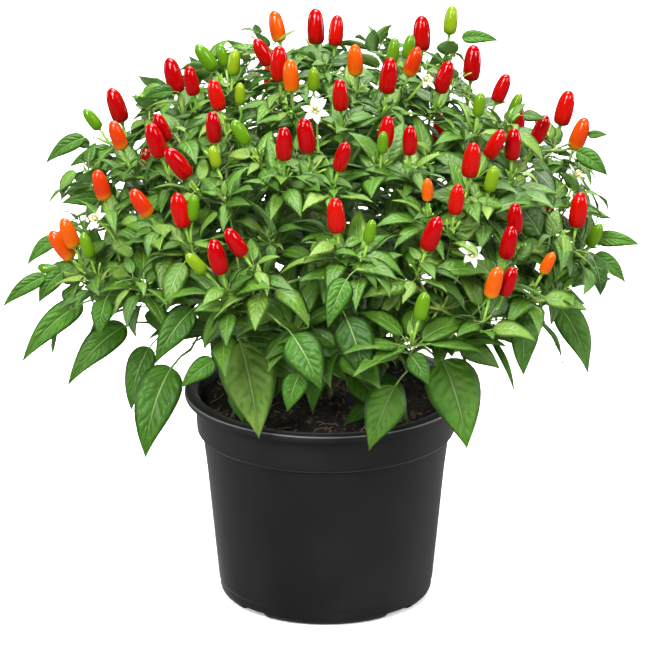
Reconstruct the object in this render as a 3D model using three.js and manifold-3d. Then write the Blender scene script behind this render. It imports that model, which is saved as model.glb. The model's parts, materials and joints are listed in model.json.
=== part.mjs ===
// A potted chilli pepper plant: a black nursery pot, its soil, and a bushy plant with upright
// fruit and small white flowers. Millimetres, +Z up, origin at the centre of the pot's underside.
// The front of the plant faces -Y.

import * as THREE from "three";
import { mergeVertices } from "three/addons/utils/BufferGeometryUtils.js";
import Module from "manifold-3d";

const wasm = await Module();
wasm.setup();

// ---- Driving dimensions ----

const FIT = 0.3; // gap between two pieces that touch
const TURN = 2 * Math.PI;
const CURVE_STEPS = 24; // frames worked out along a limb's curve

const LIP_R = 95; // a 3 litre nursery pot, 190 mm across its lip
const POT_H = 145;
const POT_SIDES = 40;
const WALL = 2.2;
const BAND_TOP_R = 88;
const BAND_FOOT_R = 86.6;
const BAND_FOOT_Z = 117;
const BODY_TOP_R = 83.2;
const BODY_FOOT_R = 72.2;
const LEDGE_Z = 11.5;
const CORNER_R = 71.4; // the body rounds in from here to the foot ring
const CORNER_Z = 5.5;
const FOOT_R = 65.6;
const FOOT_RING = 7.6;
const UNDERSIDE_Z = 3.6;
const FLOOR_Z = 6;
const PAD_R = 16; // flat pad in the middle of the underside
const NOTCHES = 4;
const NOTCH_W = 24;
const DRAIN_R = 4.5;
const DRAIN_CIRCLE_R = 40;
const DRAINS = 8;

const SOIL_Z = 131;
const SOIL_SIDES = 20;
const SOIL_BUMP = 1.6;

// The dome of foliage, half an ellipsoid above its waist and a flatter half below it.
const WAIST_Z = 222;
const DOME_R = 186;
const DOME_UP = 166;
const DOME_DOWN = 92;
const VIEW_TILT = 0.354; // how far a point rises in the front view for each mm that it lies back

const TRUNK_R = 5.2;
const SIDE_BRANCHES = 8;
const BRANCH_R = 3;
const BRANCH_FOOT_Z = 142; // the lowest side branch leaves the trunk here
const BRANCH_STEP_Z = 4; // and each higher one this much further up
const BRANCH_REACH = [84, 96]; // least and most, as are the ranges below
const BRANCH_RISE = [74, 92];
const TWIG_R = 1.7;
const TWIG_REACH = 62; // of the twig that goes on from a branch's tip
const HIGH_TWIG_AT = 0.62; // share of the branch below the twig that leaves it part way
const HIGH_TWIG_TURN = 0.35;
const HIGH_TWIG_REACH = [96, 116];
const HIGH_TWIG_Z = [292, 312];
const STALK_R = 0.9; // fruit and leaf stalks

const FRUIT_LENGTH = 24;
const FRUIT_R = 6;
const FRUIT_SIDES = 7;
const CALYX_R = 3.2;
const STALK_LENGTH = 20;
const CALYX_LENGTH = 3;
const PETALS = 5;
const FLOWER_R = 10;
const PETAL_THICK = 1.2;
const STARTS = 12; // spots along a shoot's twig that a stalk can start from

const LEAF_THICK = 1;
const LEAF_FOLD = 0.22; // how far a blade's edge stands above its midrib, for each mm of half width
const LEAF_DROOP = 0.55; // how far a leaf turns down from its foot to its tip, in radians
const SPREAD_LEAVES = 120; // leaves spread evenly over the dome, besides the ones placed by hand
const SPREAD_LENGTHS = [56, 32]; // at the foot of the dome and at its top, as are the two below
const SPREAD_PITCHES = [-0.5, 0.45];
const SPREAD_HEIGHTS = [165, 371];
const GOLDEN_ANGLE = 2.39996;

// Fruit as seen from the front: mm right of the pot's axis, mm up the view, lean in degrees, colour.
const FRONT_FRUIT = [
  [-33, 402, -8, "orange"],
  [-7, 402, -2, "red"],
  [-80, 378, -28, "green"],
  [-31, 371, 2, "red"],
  [-101, 365, -6, "red"],
  [-140, 346, -8, "red"],
  [-111, 317, -12, "red"],
  [-96, 301, -28, "red"],
  [-147, 287, -6, "orange"],
  [-94, 268, -10, "red"],
  [-13, 319, -6, "red"],
  [64, 397, -6, "red"],
  [98, 376, -2, "red"],
  [41, 362, 2, "red"],
  [160, 344, 6, "red"],
  [94, 303, 2, "red"],
  [166, 270, 0, "red"],
  [6, 264, -6, "red"],
  [-169, 254, -14, "orange"],
  [-70, 236, -12, "red"],
  [68, 252, 14, "red"],
  [108, 219, 8, "orange"],
];

// Fruit round the back: degrees round from the right-hand side, height, colour.
const BACK_FRUIT = [
  [38, 300, "red"],
  [72, 262, "orange"],
  [104, 318, "red"],
  [141, 276, "red"],
];

// Flowers as seen from the front: mm right of the axis, mm up the view.
const FLOWERS = [
  [-7, 339],
  [64, 362],
  [-149, 267],
];

// Leaves that give the outline, as seen from the front: the foot's place, the tip's place, width.
const OUTLINE_LEAVES = [
  [-56, 177, -44, 110, 36],
  [-101, 160, -118, 97, 30],
  [-116, 174, -128, 129, 23],
  [-132, 189, -170, 147, 23],
  [-161, 205, -201, 163, 23],
  [-186, 224, -215, 202, 16],
  [-86, 200, -110, 163, 20],
  [-21, 182, -3, 145, 30],
  [13, 194, 25, 150, 27],
  [45, 147, 28, 102, 27],
  [76, 165, 92, 103, 35],
  [130, 194, 128, 154, 20],
  [153, 204, 173, 155, 27],
  [180, 250, 210, 246, 13],
  [179, 239, 200, 219, 16],
  [91, 393, 116, 391, 12],
  [167, 312, 188, 295, 13],
  [-161, 322, -187, 304, 13],
  [-151, 278, -175, 275, 13],
  [-179, 251, -199, 232, 13],
];

const LOOKS = {
  pot: { color: 0x2c2d2f, roughness: 0.55 },
  soil: { color: 0x2a1f18, roughness: 1 },
  bark: { color: 0x6f6a3c, roughness: 0.8 },
  leaf: { color: 0x2f7a33, roughness: 0.5 },
  red: { color: 0xd5180f, roughness: 0.2 },
  orange: { color: 0xee6a14, roughness: 0.2 },
  green: { color: 0x5f9a28, roughness: 0.25 },
  petal: { color: 0xf7f6ee, roughness: 0.6 },
};

// ---- Helpers ----

const at = (x, y, z) => new THREE.Vector3(x, y, z);

// A number from 0 to 1 that looks random but is the same each time.
function chance(seed) {
  const wave = Math.sin(seed * 127.1 + 311.7) * 43758.5453;
  return wave - Math.floor(wave);
}

function between(low, high, seed) {
  return low + (high - low) * chance(seed);
}

// A closed three.js geometry as a solid that can be joined and cut.
function solid(geometry) {
  const bare = geometry.index ? geometry.toNonIndexed() : geometry.clone();
  bare.deleteAttribute("normal");
  bare.deleteAttribute("uv");
  const merged = mergeVertices(bare, 1e-3);
  const vertProperties = merged.attributes.position.array;
  const triVerts = new Uint32Array(merged.index.array);
  return new wasm.Manifold(new wasm.Mesh({ numProp: 3, vertProperties, triVerts }));
}

function joined(solids) {
  return wasm.Manifold.union(solids);
}

// The largest body of a solid, so that a cut leaves no crumbs.
function largest(body) {
  const bodies = body.decompose();
  bodies.sort((a, b) => b.volume() - a.volume());
  return bodies[0];
}

// A finished sub-part: its solid as a named mesh in its own material.
function piece(name, body, look) {
  const faces = largest(body.simplify(0.02)).getMesh();
  const geometry = new THREE.BufferGeometry();
  geometry.setAttribute("position", new THREE.BufferAttribute(faces.vertProperties, 3));
  geometry.setIndex(new THREE.BufferAttribute(faces.triVerts, 1));
  geometry.computeVertexNormals();
  const material = new THREE.MeshStandardMaterial({ ...LOOKS[look], metalness: 0 });
  const mesh = new THREE.Mesh(geometry, material);
  mesh.name = name;
  return mesh;
}

// The stations of a limb that tapers evenly: how far along each one is, and its radius.
function taper(startR, endR, steps = 4) {
  const shares = [...Array(steps + 1).keys()].map((step) => step / steps);
  return shares.map((share) => [share, THREE.MathUtils.lerp(startR, endR, share)]);
}

// A limb with round section that follows a smooth curve through the points.
function limb(points, stations, sides = 6) {
  const curve = new THREE.CatmullRomCurve3(points);
  const frames = curve.computeFrenetFrames(CURVE_STEPS, false);
  const tube = new THREE.CylinderGeometry(1, 1, 1, sides, stations.length - 1);
  const spots = tube.attributes.position;
  for (let i = 0; i < spots.count; i += 1) {
    const [share, radius] = stations[Math.round((spots.getY(i) + 0.5) * (stations.length - 1))];
    const step = Math.round(share * CURVE_STEPS);
    const spot = curve.getPointAt(share);
    spot.addScaledVector(frames.binormals[step], spots.getX(i) * radius);
    spot.addScaledVector(frames.normals[step], spots.getZ(i) * radius);
    spots.setXYZ(i, spot.x, spot.y, spot.z);
  }
  return solid(tube);
}

// The same limb made thicker and longer by the fit, to cut the seat of a piece that grows on it.
function seatOf({ points, startR, endR }, sides) {
  const first = points[0].clone().sub(points[1]).setLength(FIT).add(points[0]);
  const last = points.at(-1).clone().sub(points.at(-2)).setLength(FIT).add(points.at(-1));
  return limb([first, ...points.slice(1, -1), last], taper(startR + FIT, endR + FIT), sides);
}

// ---- Pot and soil ----

function innerWallPoints() {
  return [
    [BODY_FOOT_R - WALL - 4, FLOOR_Z],
    [BODY_FOOT_R - WALL, LEDGE_Z],
    [BODY_TOP_R - WALL, BAND_FOOT_Z - 1],
    [BAND_FOOT_R - WALL, BAND_FOOT_Z + 1],
  ];
}

function potWall() {
  const outline = [
    [0, 0],
    [PAD_R, 0],
    [PAD_R + 1, UNDERSIDE_Z],
    [FOOT_R - FOOT_RING, UNDERSIDE_Z],
    [FOOT_R - FOOT_RING, 0],
    [FOOT_R, 0],
    [THREE.MathUtils.lerp(FOOT_R, CORNER_R, 0.65), CORNER_Z / 3],
    [CORNER_R, CORNER_Z],
    [CORNER_R + 0.1, LEDGE_Z - 1],
    [BODY_FOOT_R, LEDGE_Z],
    [BODY_TOP_R, BAND_FOOT_Z - 0.6],
    [BAND_FOOT_R, BAND_FOOT_Z],
    [BAND_TOP_R, POT_H - 2.4],
    [LIP_R - 1.8, POT_H - 2.4],
    [LIP_R - 1.6, POT_H - 4.6],
    [LIP_R - 0.4, POT_H - 4.6],
    [LIP_R, POT_H - 1],
    [LIP_R - 1, POT_H],
    [BAND_TOP_R - 1.6, POT_H],
    [BAND_TOP_R - WALL, POT_H - 1.4],
    ...innerWallPoints().reverse(),
    [0, FLOOR_Z],
  ];
  const points = outline.map(([r, z]) => new THREE.Vector2(r, z));
  return solid(new THREE.LatheGeometry(points, POT_SIDES).rotateX(Math.PI / 2));
}

function drainHole(angle) {
  const hole = new THREE.CylinderGeometry(DRAIN_R, DRAIN_R, 3 * FLOOR_Z, 10);
  hole.rotateX(Math.PI / 2);
  hole.translate(DRAIN_CIRCLE_R * Math.cos(angle), DRAIN_CIRCLE_R * Math.sin(angle), FLOOR_Z / 2);
  return solid(hole);
}

function footNotch(angle) {
  const notch = new THREE.BoxGeometry(3 * FOOT_RING, NOTCH_W, 2 * UNDERSIDE_Z);
  notch.translate(FOOT_R, 0, 0);
  notch.rotateZ(angle);
  return solid(notch);
}

function pot() {
  const cuts = [];
  for (let i = 0; i < DRAINS; i += 1) cuts.push(drainHole((i * TURN) / DRAINS));
  for (let i = 0; i < NOTCHES; i += 1) cuts.push(footNotch(((i + 0.5) * TURN) / NOTCHES));
  return potWall().subtract(joined(cuts));
}

function soilHeight(x, y) {
  return SOIL_Z + SOIL_BUMP * (Math.sin(x / 9 + 1) * Math.cos(y / 11) + 0.4 * Math.sin((x + y) / 6));
}

function soil() {
  const wall = innerWallPoints().map(([r, z]) => [r - FIT, z]);
  const topR = wall.at(-1)[0] + 0.5;
  const points = [
    [0, FLOOR_Z + FIT],
    [wall[0][0], FLOOR_Z + FIT],
    ...wall.slice(1),
    [topR, SOIL_Z - 2],
    [0.75 * topR, SOIL_Z],
    [0.5 * topR, SOIL_Z],
    [0.25 * topR, SOIL_Z],
    [0, SOIL_Z],
  ].map(([r, z]) => new THREE.Vector2(r, z));
  const ball = new THREE.LatheGeometry(points, SOIL_SIDES).rotateX(Math.PI / 2);
  const spots = ball.attributes.position;
  for (let i = 0; i < spots.count; i += 1) {
    if (spots.getZ(i) === SOIL_Z) spots.setZ(i, soilHeight(spots.getX(i), spots.getY(i)));
  }
  return solid(ball);
}

// ---- Stems ----

// The trunk in two limbs: the taproot in the soil, and the woody foot above it.
const TRUNK = [
  { points: [at(0, 0, 92), at(0.3, 0, 108), at(0.5, 0, 125)], startR: 0.4 * TRUNK_R, endR: TRUNK_R },
  { points: [at(0.5, 0, 124), at(-0.5, 1, 150), at(1, 1, 176)], startR: TRUNK_R, endR: 0.8 * TRUNK_R },
];

function trunkSolid() {
  return joined(TRUNK.map(({ points, startR, endR }) => limb(points, taper(startR, endR, 3), 7)));
}

function trunkSeat() {
  return joined(TRUNK.map((part) => seatOf(part, 7)));
}

// A level direction at an angle round the axis.
function round(angle) {
  return at(Math.cos(angle), Math.sin(angle), 0);
}

// Side branches leave the trunk at rising heights and reach out and up under the leaves.
function sideBranch(index) {
  const angle = ((index + 0.5) * TURN) / SIDE_BRANCHES + between(-0.12, 0.12, index);
  const footZ = BRANCH_FOOT_Z + BRANCH_STEP_Z * ((index * 3) % SIDE_BRANCHES);
  const reach = between(...BRANCH_REACH, index + 20);
  const rise = between(...BRANCH_RISE, index + 40);
  const spot = (out, up) => round(angle).multiplyScalar(out * reach).setZ(footZ + up * rise);
  const points = [spot(0.01, 0), spot(0.3, 0.32), spot(0.65, 0.62), spot(1, 1)];
  const low = [0, 0.5, 1].map((share) => spot(1 + (share * TWIG_REACH) / reach, 1));
  low[2].z += between(-8, 14, index + 60);
  const high = round(angle + HIGH_TWIG_TURN).multiplyScalar(between(...HIGH_TWIG_REACH, index + 80));
  high.setZ(between(...HIGH_TWIG_Z, index + 100));
  return { points, startR: BRANCH_R, endR: 0.7 * BRANCH_R, low, high };
}

// The leader carries on from the top of the trunk.
function leader() {
  const points = [at(0.5, 1, 170), at(-3, 0, 215), at(-6, -2, 250), at(-10, 0, 284)];
  const low = [points.at(-1), at(-16, 2, 314), at(-30, 4, 346)];
  return { points, startR: 0.7 * TRUNK_R, endR: 0.7 * BRANCH_R, low, high: at(38, 6, 336) };
}

function branchSolid(stem) {
  return limb(stem.points, taper(stem.startR, stem.endR)).subtract(trunkSeat());
}

// Each branch carries two leafy shoots: one goes on from its tip, the other leaves it part way.
function shootTwigs(stem) {
  const foot = new THREE.CatmullRomCurve3(stem.points).getPointAt(HIGH_TWIG_AT);
  const middle = foot.clone().lerp(stem.high, 0.45).add(at(0, 0, 12));
  return [stem.low, [foot, middle, stem.high]];
}

function makeShoot(points, stem) {
  const curve = new THREE.CatmullRomCurve3(points);
  const spots = [];
  for (let i = 0; i < STARTS; i += 1) spots.push(curve.getPointAt(0.3 + (0.68 * i) / (STARTS - 1)));
  const twig = limb(points, taper(TWIG_R, 0.6 * TWIG_R), 5).subtract(seatOf(stem));
  return { spots, solids: [largest(twig)] };
}

// ---- Where things grow on the dome of foliage ----

// The spot at (x, up) in the front view that lies on the near side of the dome, or nearest to it.
function onDome(x, up, size = 1) {
  const solve = (half) => {
    const a = 1 / DOME_R ** 2 + VIEW_TILT ** 2 / half ** 2;
    const b = (-2 * VIEW_TILT * (up - WAIST_Z)) / half ** 2;
    const c = x ** 2 / DOME_R ** 2 + (up - WAIST_Z) ** 2 / half ** 2 - size ** 2;
    const y = (-b - Math.sqrt(Math.max(b * b - 4 * a * c, 0))) / (2 * a);
    return at(x, y, up - VIEW_TILT * y);
  };
  const high = solve(DOME_UP);
  return high.z > WAIST_Z ? high : solve(DOME_DOWN);
}

// The spot on the dome at an angle round the axis and a height.
function roundDome(angle, z, size = 1) {
  const half = z > WAIST_Z ? DOME_UP : DOME_DOWN;
  const rise = THREE.MathUtils.clamp((z - WAIST_Z) / half, -0.98, 0.98);
  const radius = DOME_R * Math.sqrt(1 - rise * rise) * size;
  return at(radius * Math.cos(angle), radius * Math.sin(angle), WAIST_Z + rise * half * size);
}

// ---- Fruit, flowers and leaves ----

// Everything placed so far, to keep what is placed next clear of it.
const grown = [];

function isClearOf(others, body) {
  return others.every((other) => body.minGap(other.body, FIT) > 0.8 * FIT);
}

function isClear(body, owner) {
  return isClearOf(grown.filter((other) => other.owner !== owner), body);
}

function grow(owner, body) {
  grown.push({ owner, body });
}

// Turns a shape that stands on the origin along +Y so that it stands at foot along axis.
function stand(geometry, foot, axis) {
  geometry.applyQuaternion(new THREE.Quaternion().setFromUnitVectors(at(0, 1, 0), axis));
  return geometry.translate(foot.x, foot.y, foot.z);
}

function leanAxis(degrees, out) {
  const lean = THREE.MathUtils.degToRad(degrees);
  return at(Math.sin(lean), 0, Math.cos(lean)).addScaledVector(out, 0.15).normalize();
}

function outwards(spot) {
  return at(spot.x, spot.y, 0).normalize();
}

function fruitSolid(foot, axis) {
  const outline = [
    [0, 0],
    [0.7, 0.02],
    [1, 0.22],
    [0.97, 0.48],
    [0.8, 0.74],
    [0.45, 0.94],
    [0, 1],
  ].map(([r, y]) => new THREE.Vector2(r * FRUIT_R, y * FRUIT_LENGTH));
  return solid(stand(new THREE.LatheGeometry(outline, FRUIT_SIDES), foot, axis));
}

// A flower of five petals, one flat star.
function flowerSolid(foot, axis) {
  const outline = [];
  for (let i = 0; i < 2 * PETALS; i += 1) {
    const corner = round((i * TURN) / (2 * PETALS)).multiplyScalar(i % 2 ? 0.4 * FLOWER_R : FLOWER_R);
    outline.push(new THREE.Vector2(corner.x, corner.y));
  }
  const star = new THREE.Shape(outline);
  const petals = new THREE.ExtrudeGeometry(star, { depth: PETAL_THICK, bevelEnabled: false });
  return solid(stand(petals.rotateX(-Math.PI / 2), foot, axis));
}

// The stalk of a fruit or flower, which bends upright and widens into the calyx at its top.
function stalkSolid(from, foot, axis, calyxR) {
  const top = foot.clone().addScaledVector(axis, -FIT);
  const bend = foot.clone().addScaledVector(axis, -0.6 * STALK_LENGTH);
  const length = from.distanceTo(bend) + bend.distanceTo(top);
  const neck = 1 - CALYX_LENGTH / length;
  const stations = [[0, STALK_R], [0.35, STALK_R], [0.7, STALK_R], [neck, STALK_R], [1, calyxR]];
  return limb([from, bend, top], stations, 5);
}

// The shoots' spots that a stalk can start from, the nearest first.
function startsNear(shoots, spot) {
  const starts = shoots.flatMap((shoot) => shoot.spots.map((start) => ({ shoot, start })));
  return starts.sort((a, b) => a.start.distanceTo(spot) - b.start.distanceTo(spot));
}

function attach(shoots, body, foot, axis, calyxR) {
  grow(body, body);
  const low = foot.clone().addScaledVector(axis, -STALK_LENGTH);
  for (const { shoot, start } of startsNear(shoots, low).slice(0, 24)) {
    const stalk = stalkSolid(start, foot, axis, calyxR);
    if (!isClear(stalk, shoot)) continue;
    shoot.solids.push(stalk);
    grow(shoot, stalk);
    return;
  }
  throw new Error(`no clear way for the stalk at ${foot.toArray().map(Math.round)}`);
}

// The frame that a row of a leaf's points is set out in: ahead, to its side and up from it.
function rowFrame(ahead, sideways) {
  const side = sideways.clone().addScaledVector(ahead, -sideways.dot(ahead)).normalize();
  return { side, up: side.clone().cross(ahead) };
}

// The rows across a leaf: two round its stalk, then three across its drooping blade.
function leafRows(start, foot, heading, length, width) {
  const level = heading.clone().cross(at(0, 0, 1)).normalize();
  const stalk = rowFrame(foot.clone().sub(start).normalize(), level);
  const rows = [start, foot].map((spot) => ({ ...stalk, spot, half: STALK_R, thick: STALK_R, lift: 0 }));
  for (const share of [0.28, 0.55, 0.8]) {
    const ahead = heading.clone().applyAxisAngle(level, -LEAF_DROOP * share);
    const chord = heading.clone().applyAxisAngle(level, (-LEAF_DROOP * share) / 2);
    const half = (width / 2) * Math.sin(Math.PI * share ** 0.8);
    rows.push({
      ...rowFrame(ahead, level),
      spot: foot.clone().addScaledVector(chord, length * share),
      half,
      thick: LEAF_THICK / 2,
      lift: LEAF_FOLD * half,
    });
  }
  const tipwards = heading.clone().applyAxisAngle(level, -LEAF_DROOP / 2);
  return { rows, tip: foot.clone().addScaledVector(tipwards, length) };
}

// A leaf in one piece, with four points to a row: its stalk from start to foot, and a thin
// blade with a keel along its middle that leaves the foot along the heading.
function leafSolid(start, foot, heading, length, width) {
  const { rows, tip } = leafRows(start, foot, heading, length, width);
  const steps = rows.length + 1;
  const leaf = new THREE.SphereGeometry(1, 4, steps);
  const spots = leaf.attributes.position;
  for (let i = 0; i < spots.count; i += 1) {
    const fromTop = Math.acos(THREE.MathUtils.clamp(spots.getY(i), -1, 1)) / Math.PI;
    const step = steps - Math.round(fromTop * steps);
    const spot = (step === 0 ? start : tip).clone();
    if (step > 0 && step < steps) {
      const row = rows[step - 1];
      const edge = Math.sign(Math.round(2 * spots.getX(i)));
      const face = Math.sign(Math.round(2 * spots.getZ(i)));
      spot.copy(row.spot).addScaledVector(row.side, edge * row.half);
      spot.addScaledVector(row.up, face * row.thick + Math.abs(edge) * row.lift);
    }
    spots.setXYZ(i, spot.x, spot.y, spot.z);
  }
  return solid(leaf);
}

// Grows a leaf from the nearest shoot that can carry it clear of everything else.
function addLeaf(shoots, foot, heading, length, width) {
  for (const { shoot, start } of startsNear(shoots, foot).slice(0, 8)) {
    const leaf = leafSolid(start, foot, heading, length, width);
    const others = grown.filter((other) => other.body !== shoot.solids[0]);
    if (!isClearOf(others, leaf)) continue;
    shoot.solids.push(leaf);
    grow(shoot, leaf);
    return true;
  }
  return false;
}

function outlineLeaf(shoots, [footX, footUp, tipX, tipUp, width]) {
  const tip = onDome(tipX, tipUp);
  const most = 0.4 * Math.hypot(tipX - footX, tipUp - footUp);
  const y = tip.y + THREE.MathUtils.clamp(onDome(footX, footUp, 0.9).y - tip.y, -most, most);
  const foot = at(footX, y, footUp - VIEW_TILT * y);
  const chord = tip.sub(foot);
  const level = chord.clone().cross(at(0, 0, 1)).normalize();
  const heading = chord.clone().normalize().applyAxisAngle(level, LEAF_DROOP / 2);
  addLeaf(shoots, foot, heading, chord.length(), width);
}

// One of the leaves spread evenly over the dome, tried at a few turns until it fits.
function spreadLeaf(shoots, index) {
  const share = (index + 0.5) / SPREAD_LEAVES;
  const angle = index * GOLDEN_ANGLE;
  const foot = roundDome(angle, THREE.MathUtils.lerp(...SPREAD_HEIGHTS, share), 0.8);
  const length = THREE.MathUtils.lerp(...SPREAD_LENGTHS, share) * between(0.85, 1.1, index);
  const pitch = THREE.MathUtils.lerp(...SPREAD_PITCHES, share);
  for (const turn of [0, 0.5, -0.5, 0.9, -0.9]) {
    const heading = round(angle + turn).setZ(Math.tan(pitch)).normalize();
    if (addLeaf(shoots, foot, heading, length, 0.5 * length)) return;
  }
}

// ---- The whole plant ----

const numbered = (name, index) => `${name}_${String(index + 1).padStart(2, "0")}`;

// Adds the pot, the soil and the woody stems, and returns the shoots that the stems carry.
function addStems(add) {
  const solids = { pot: pot(), soil: soil().subtract(trunkSeat()), main_stem: trunkSolid() };
  add("pot", solids.pot, "pot");
  add("soil", solids.soil, "soil");
  add("main_stem", solids.main_stem, "bark");
  for (const [name, body] of Object.entries(solids)) grow(name, body);
  const stems = [...Array(SIDE_BRANCHES).keys()].map(sideBranch);
  stems.push(leader());
  const shoots = [];
  stems.forEach((stem, index) => {
    const body = branchSolid(stem);
    add(numbered("branch", index), body, "bark");
    grow(stem, body);
    shoots.push(...shootTwigs(stem).map((points) => makeShoot(points, stem)));
  });
  shoots.forEach((shoot) => grow(shoot, shoot.solids[0]));
  return shoots;
}

function addFruit(add, shoots) {
  const fruit = FRONT_FRUIT.map(([x, up, lean, look]) => ({ spot: onDome(x, up), lean, look }));
  for (const [degrees, z, look] of BACK_FRUIT) {
    fruit.push({ spot: roundDome(THREE.MathUtils.degToRad(degrees), z), lean: 0, look });
  }
  fruit.forEach(({ spot, lean, look }, index) => {
    const axis = leanAxis(lean, outwards(spot));
    const foot = spot.clone().addScaledVector(axis, -FRUIT_LENGTH / 2);
    const body = fruitSolid(foot, axis);
    add(numbered("fruit", index), body, look);
    attach(shoots, body, foot, axis, CALYX_R);
  });
}

function addFlowers(add, shoots) {
  FLOWERS.forEach(([x, up], index) => {
    const spot = onDome(x, up);
    const axis = outwards(spot).add(at(0, 0, 0.6)).normalize();
    const body = flowerSolid(spot, axis);
    add(numbered("flower", index), body, "petal");
    attach(shoots, body, spot, axis, 0.5 * CALYX_R);
  });
}

function build() {
  const object = new THREE.Group();
  const add = (name, body, look) => object.add(piece(name, body, look));
  const shoots = addStems(add);
  addFruit(add, shoots);
  addFlowers(add, shoots);
  OUTLINE_LEAVES.forEach((leaf) => outlineLeaf(shoots, leaf));
  for (let i = 0; i < SPREAD_LEAVES; i += 1) spreadLeaf(shoots, i);
  shoots.forEach((shoot, index) => add(numbered("leafy_shoot", index), joined(shoot.solids), "leaf"));
  return object;
}

export default build();
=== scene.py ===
"""The looks of a potted chilli pepper plant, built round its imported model.

Metres, +Z up, the front of the plant faces -Y. The canopy is a dome: fruit stand on it, and the
tips of the twigs lie just inside it, each with a whorl of leaves.
"""

import json
import math
from random import Random

import bpy
import numpy as np
from mathutils import Matrix, Quaternion, Vector


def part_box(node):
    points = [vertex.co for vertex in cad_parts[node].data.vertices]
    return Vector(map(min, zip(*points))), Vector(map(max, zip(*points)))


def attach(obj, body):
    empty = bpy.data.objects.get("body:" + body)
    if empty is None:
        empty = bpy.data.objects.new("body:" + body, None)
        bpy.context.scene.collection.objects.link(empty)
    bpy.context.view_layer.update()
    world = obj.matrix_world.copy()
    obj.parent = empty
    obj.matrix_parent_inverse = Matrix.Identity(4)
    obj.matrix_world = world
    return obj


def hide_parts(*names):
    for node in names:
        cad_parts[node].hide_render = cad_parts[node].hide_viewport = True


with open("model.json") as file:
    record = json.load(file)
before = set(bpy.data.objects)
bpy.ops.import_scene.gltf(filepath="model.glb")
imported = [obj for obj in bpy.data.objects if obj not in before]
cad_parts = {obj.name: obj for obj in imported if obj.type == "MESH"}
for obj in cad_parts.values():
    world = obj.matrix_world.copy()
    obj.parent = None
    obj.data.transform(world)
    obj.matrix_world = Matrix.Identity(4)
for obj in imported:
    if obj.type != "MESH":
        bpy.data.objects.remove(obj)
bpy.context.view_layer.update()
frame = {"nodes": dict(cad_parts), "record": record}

MM = 0.001
UP = Vector((0, 0, 1))
TURN = 2 * math.pi
GOLDEN_ANGLE = math.pi * (3 - math.sqrt(5))

# ---- Sizes: the pot's from the frame, the rest round it ----

POT_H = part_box("pot")[1][2]
WAIST_Z = POT_H + 77 * MM  # the dome of foliage is widest here
DOME_R = 186 * MM
DOME_UP = 166 * MM  # from the waist to the top of the dome
DOME_DOWN = 92 * MM
VIEW_RISE = math.radians(19.5)  # how far the front view looks down
VIEW_TILT = 0.354  # how far a point rises in the front view for each unit that it lies back
FRONT = Vector((0, -0.94, 0.34))  # towards whoever looks from the front
SEEN_UP = 178 * MM  # from the waist to the top of the dome in the front view

FRUIT_LENGTH = 24 * MM
FRUIT_R = 6 * MM
FRUIT_DROP = 12  # mm from a fruit's middle down to its foot
FRAME_FRUIT = 26  # how many fruit the frame has
HIDDEN_FRUIT = 46  # at most, on the sides and back
FRUIT_CLEARANCE = 9.5 * MM  # a leaf keeps this far from a fruit's middle line
VIEW_CLEARANCE = 95 * MM  # a leaf this near in front of a fruit would hide it
VIEW_GAP = 8.5 * MM  # unless it passes this far to the side
FRUIT_NEAR = 110 * MM  # fruit farther from a tip than this can't touch its leaves
STALK_LENGTH = 19 * MM
SOIL_R = 84.7  # of the soil's surface, in mm
SOIL_SIDE = ((79.0, 100.0), (70.5, 14.0), (68.0, 6.4))  # radius and height below its surface, in mm
TRUNK_R = 5.2 * MM
BRANCH_R = 3.0 * MM
TWIG_R = 1.7 * MM
TWIG_STEPS = 6
LEAF_TRIES = 5  # how often a leaf looks for a place where it fits
LEAF_JITTER = 0.19  # how much the leaves of a tip differ in tone
UNDER_DOME = 18 * MM  # how far a leaf may hang below its tip
BOWL_Z = 146 * MM  # the canopy's underside at the stem
BOWL_RISE = 0.47  # how fast it rises outwards
PAINTED_INNER_SHADE = 0.32  # painted shade: how much darker the leaves are painted in the middle of the canopy, where it shades itself
BUD_KINDS = ((0.12, 0.06), (-0.18, 0.08), (0.25, 0.05))  # bend and plumpness

# The rest of the fruit, beside the ones that the frame has, as seen from the front:
# mm right of the axis, mm up the view, lean in degrees, ripeness.
MORE_FRUIT = [
    (7, 400, 4, "red"), (-70, 384, -6, "green"), (-60, 376, 14, "green"), (-43, 382, -20, "red"),
    (-23, 363, 0, "orange"), (-8, 363, 2, "green"), (-89, 362, -2, "red"), (-72, 350, -6, "red"),
    (-56, 354, 6, "green"), (-159, 339, -30, "green"), (-138, 324, -12, "orange"),
    (-108, 328, -14, "red"), (-73, 327, 0, "red"), (-57, 324, -26, "green"), (-73, 309, -8, "green"),
    (-121, 275, -26, "orange"), (-85, 273, 10, "green"), (-27, 314, 2, "red"), (45, 385, 0, "green"),
    (56, 390, 4, "green"), (84, 409, 0, "green"), (58, 375, 10, "orange"), (78, 363, 10, "red"),
    (19, 375, -6, "orange"), (118, 359, 14, "red"), (129, 351, 16, "green"), (101, 347, 0, "green"),
    (170, 326, 12, "orange"), (143, 329, 14, "red"), (9, 349, -4, "red"), (122, 316, -4, "red"),
    (111, 316, 20, "red"), (39, 323, 4, "red"), (37, 319, 2, "green"), (54, 318, -4, "red"),
    (11, 306, 14, "red"), (108, 293, 6, "green"), (65, 286, -4, "turning"), (84, 277, 2, "red"),
    (180, 256, 18, "green"), (122, 264, -6, "red"), (29, 257, 10, "green"), (-175, 246, -30, "orange"),
    (-157, 248, -8, "green"), (-189, 230, -74, "green"), (-86, 234, -38, "green"),
    (-59, 247, -28, "red"), (118, 247, 4, "red"), (146, 236, 20, "turning"), (118, 221, 14, "red"),
    (62, 205, 10, "green"),
]
# smallest and largest, as a share of a full-grown fruit
MORE_FRUIT_SIZE = {"green": (0.6, 0.8), "turning": (0.6, 0.68), "orange": (0.84, 0.98), "red": (0.82, 0.95)}
FRUIT_SIZE = {"green": 0.84, "orange": 0.88, "red": 1.0}
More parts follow.
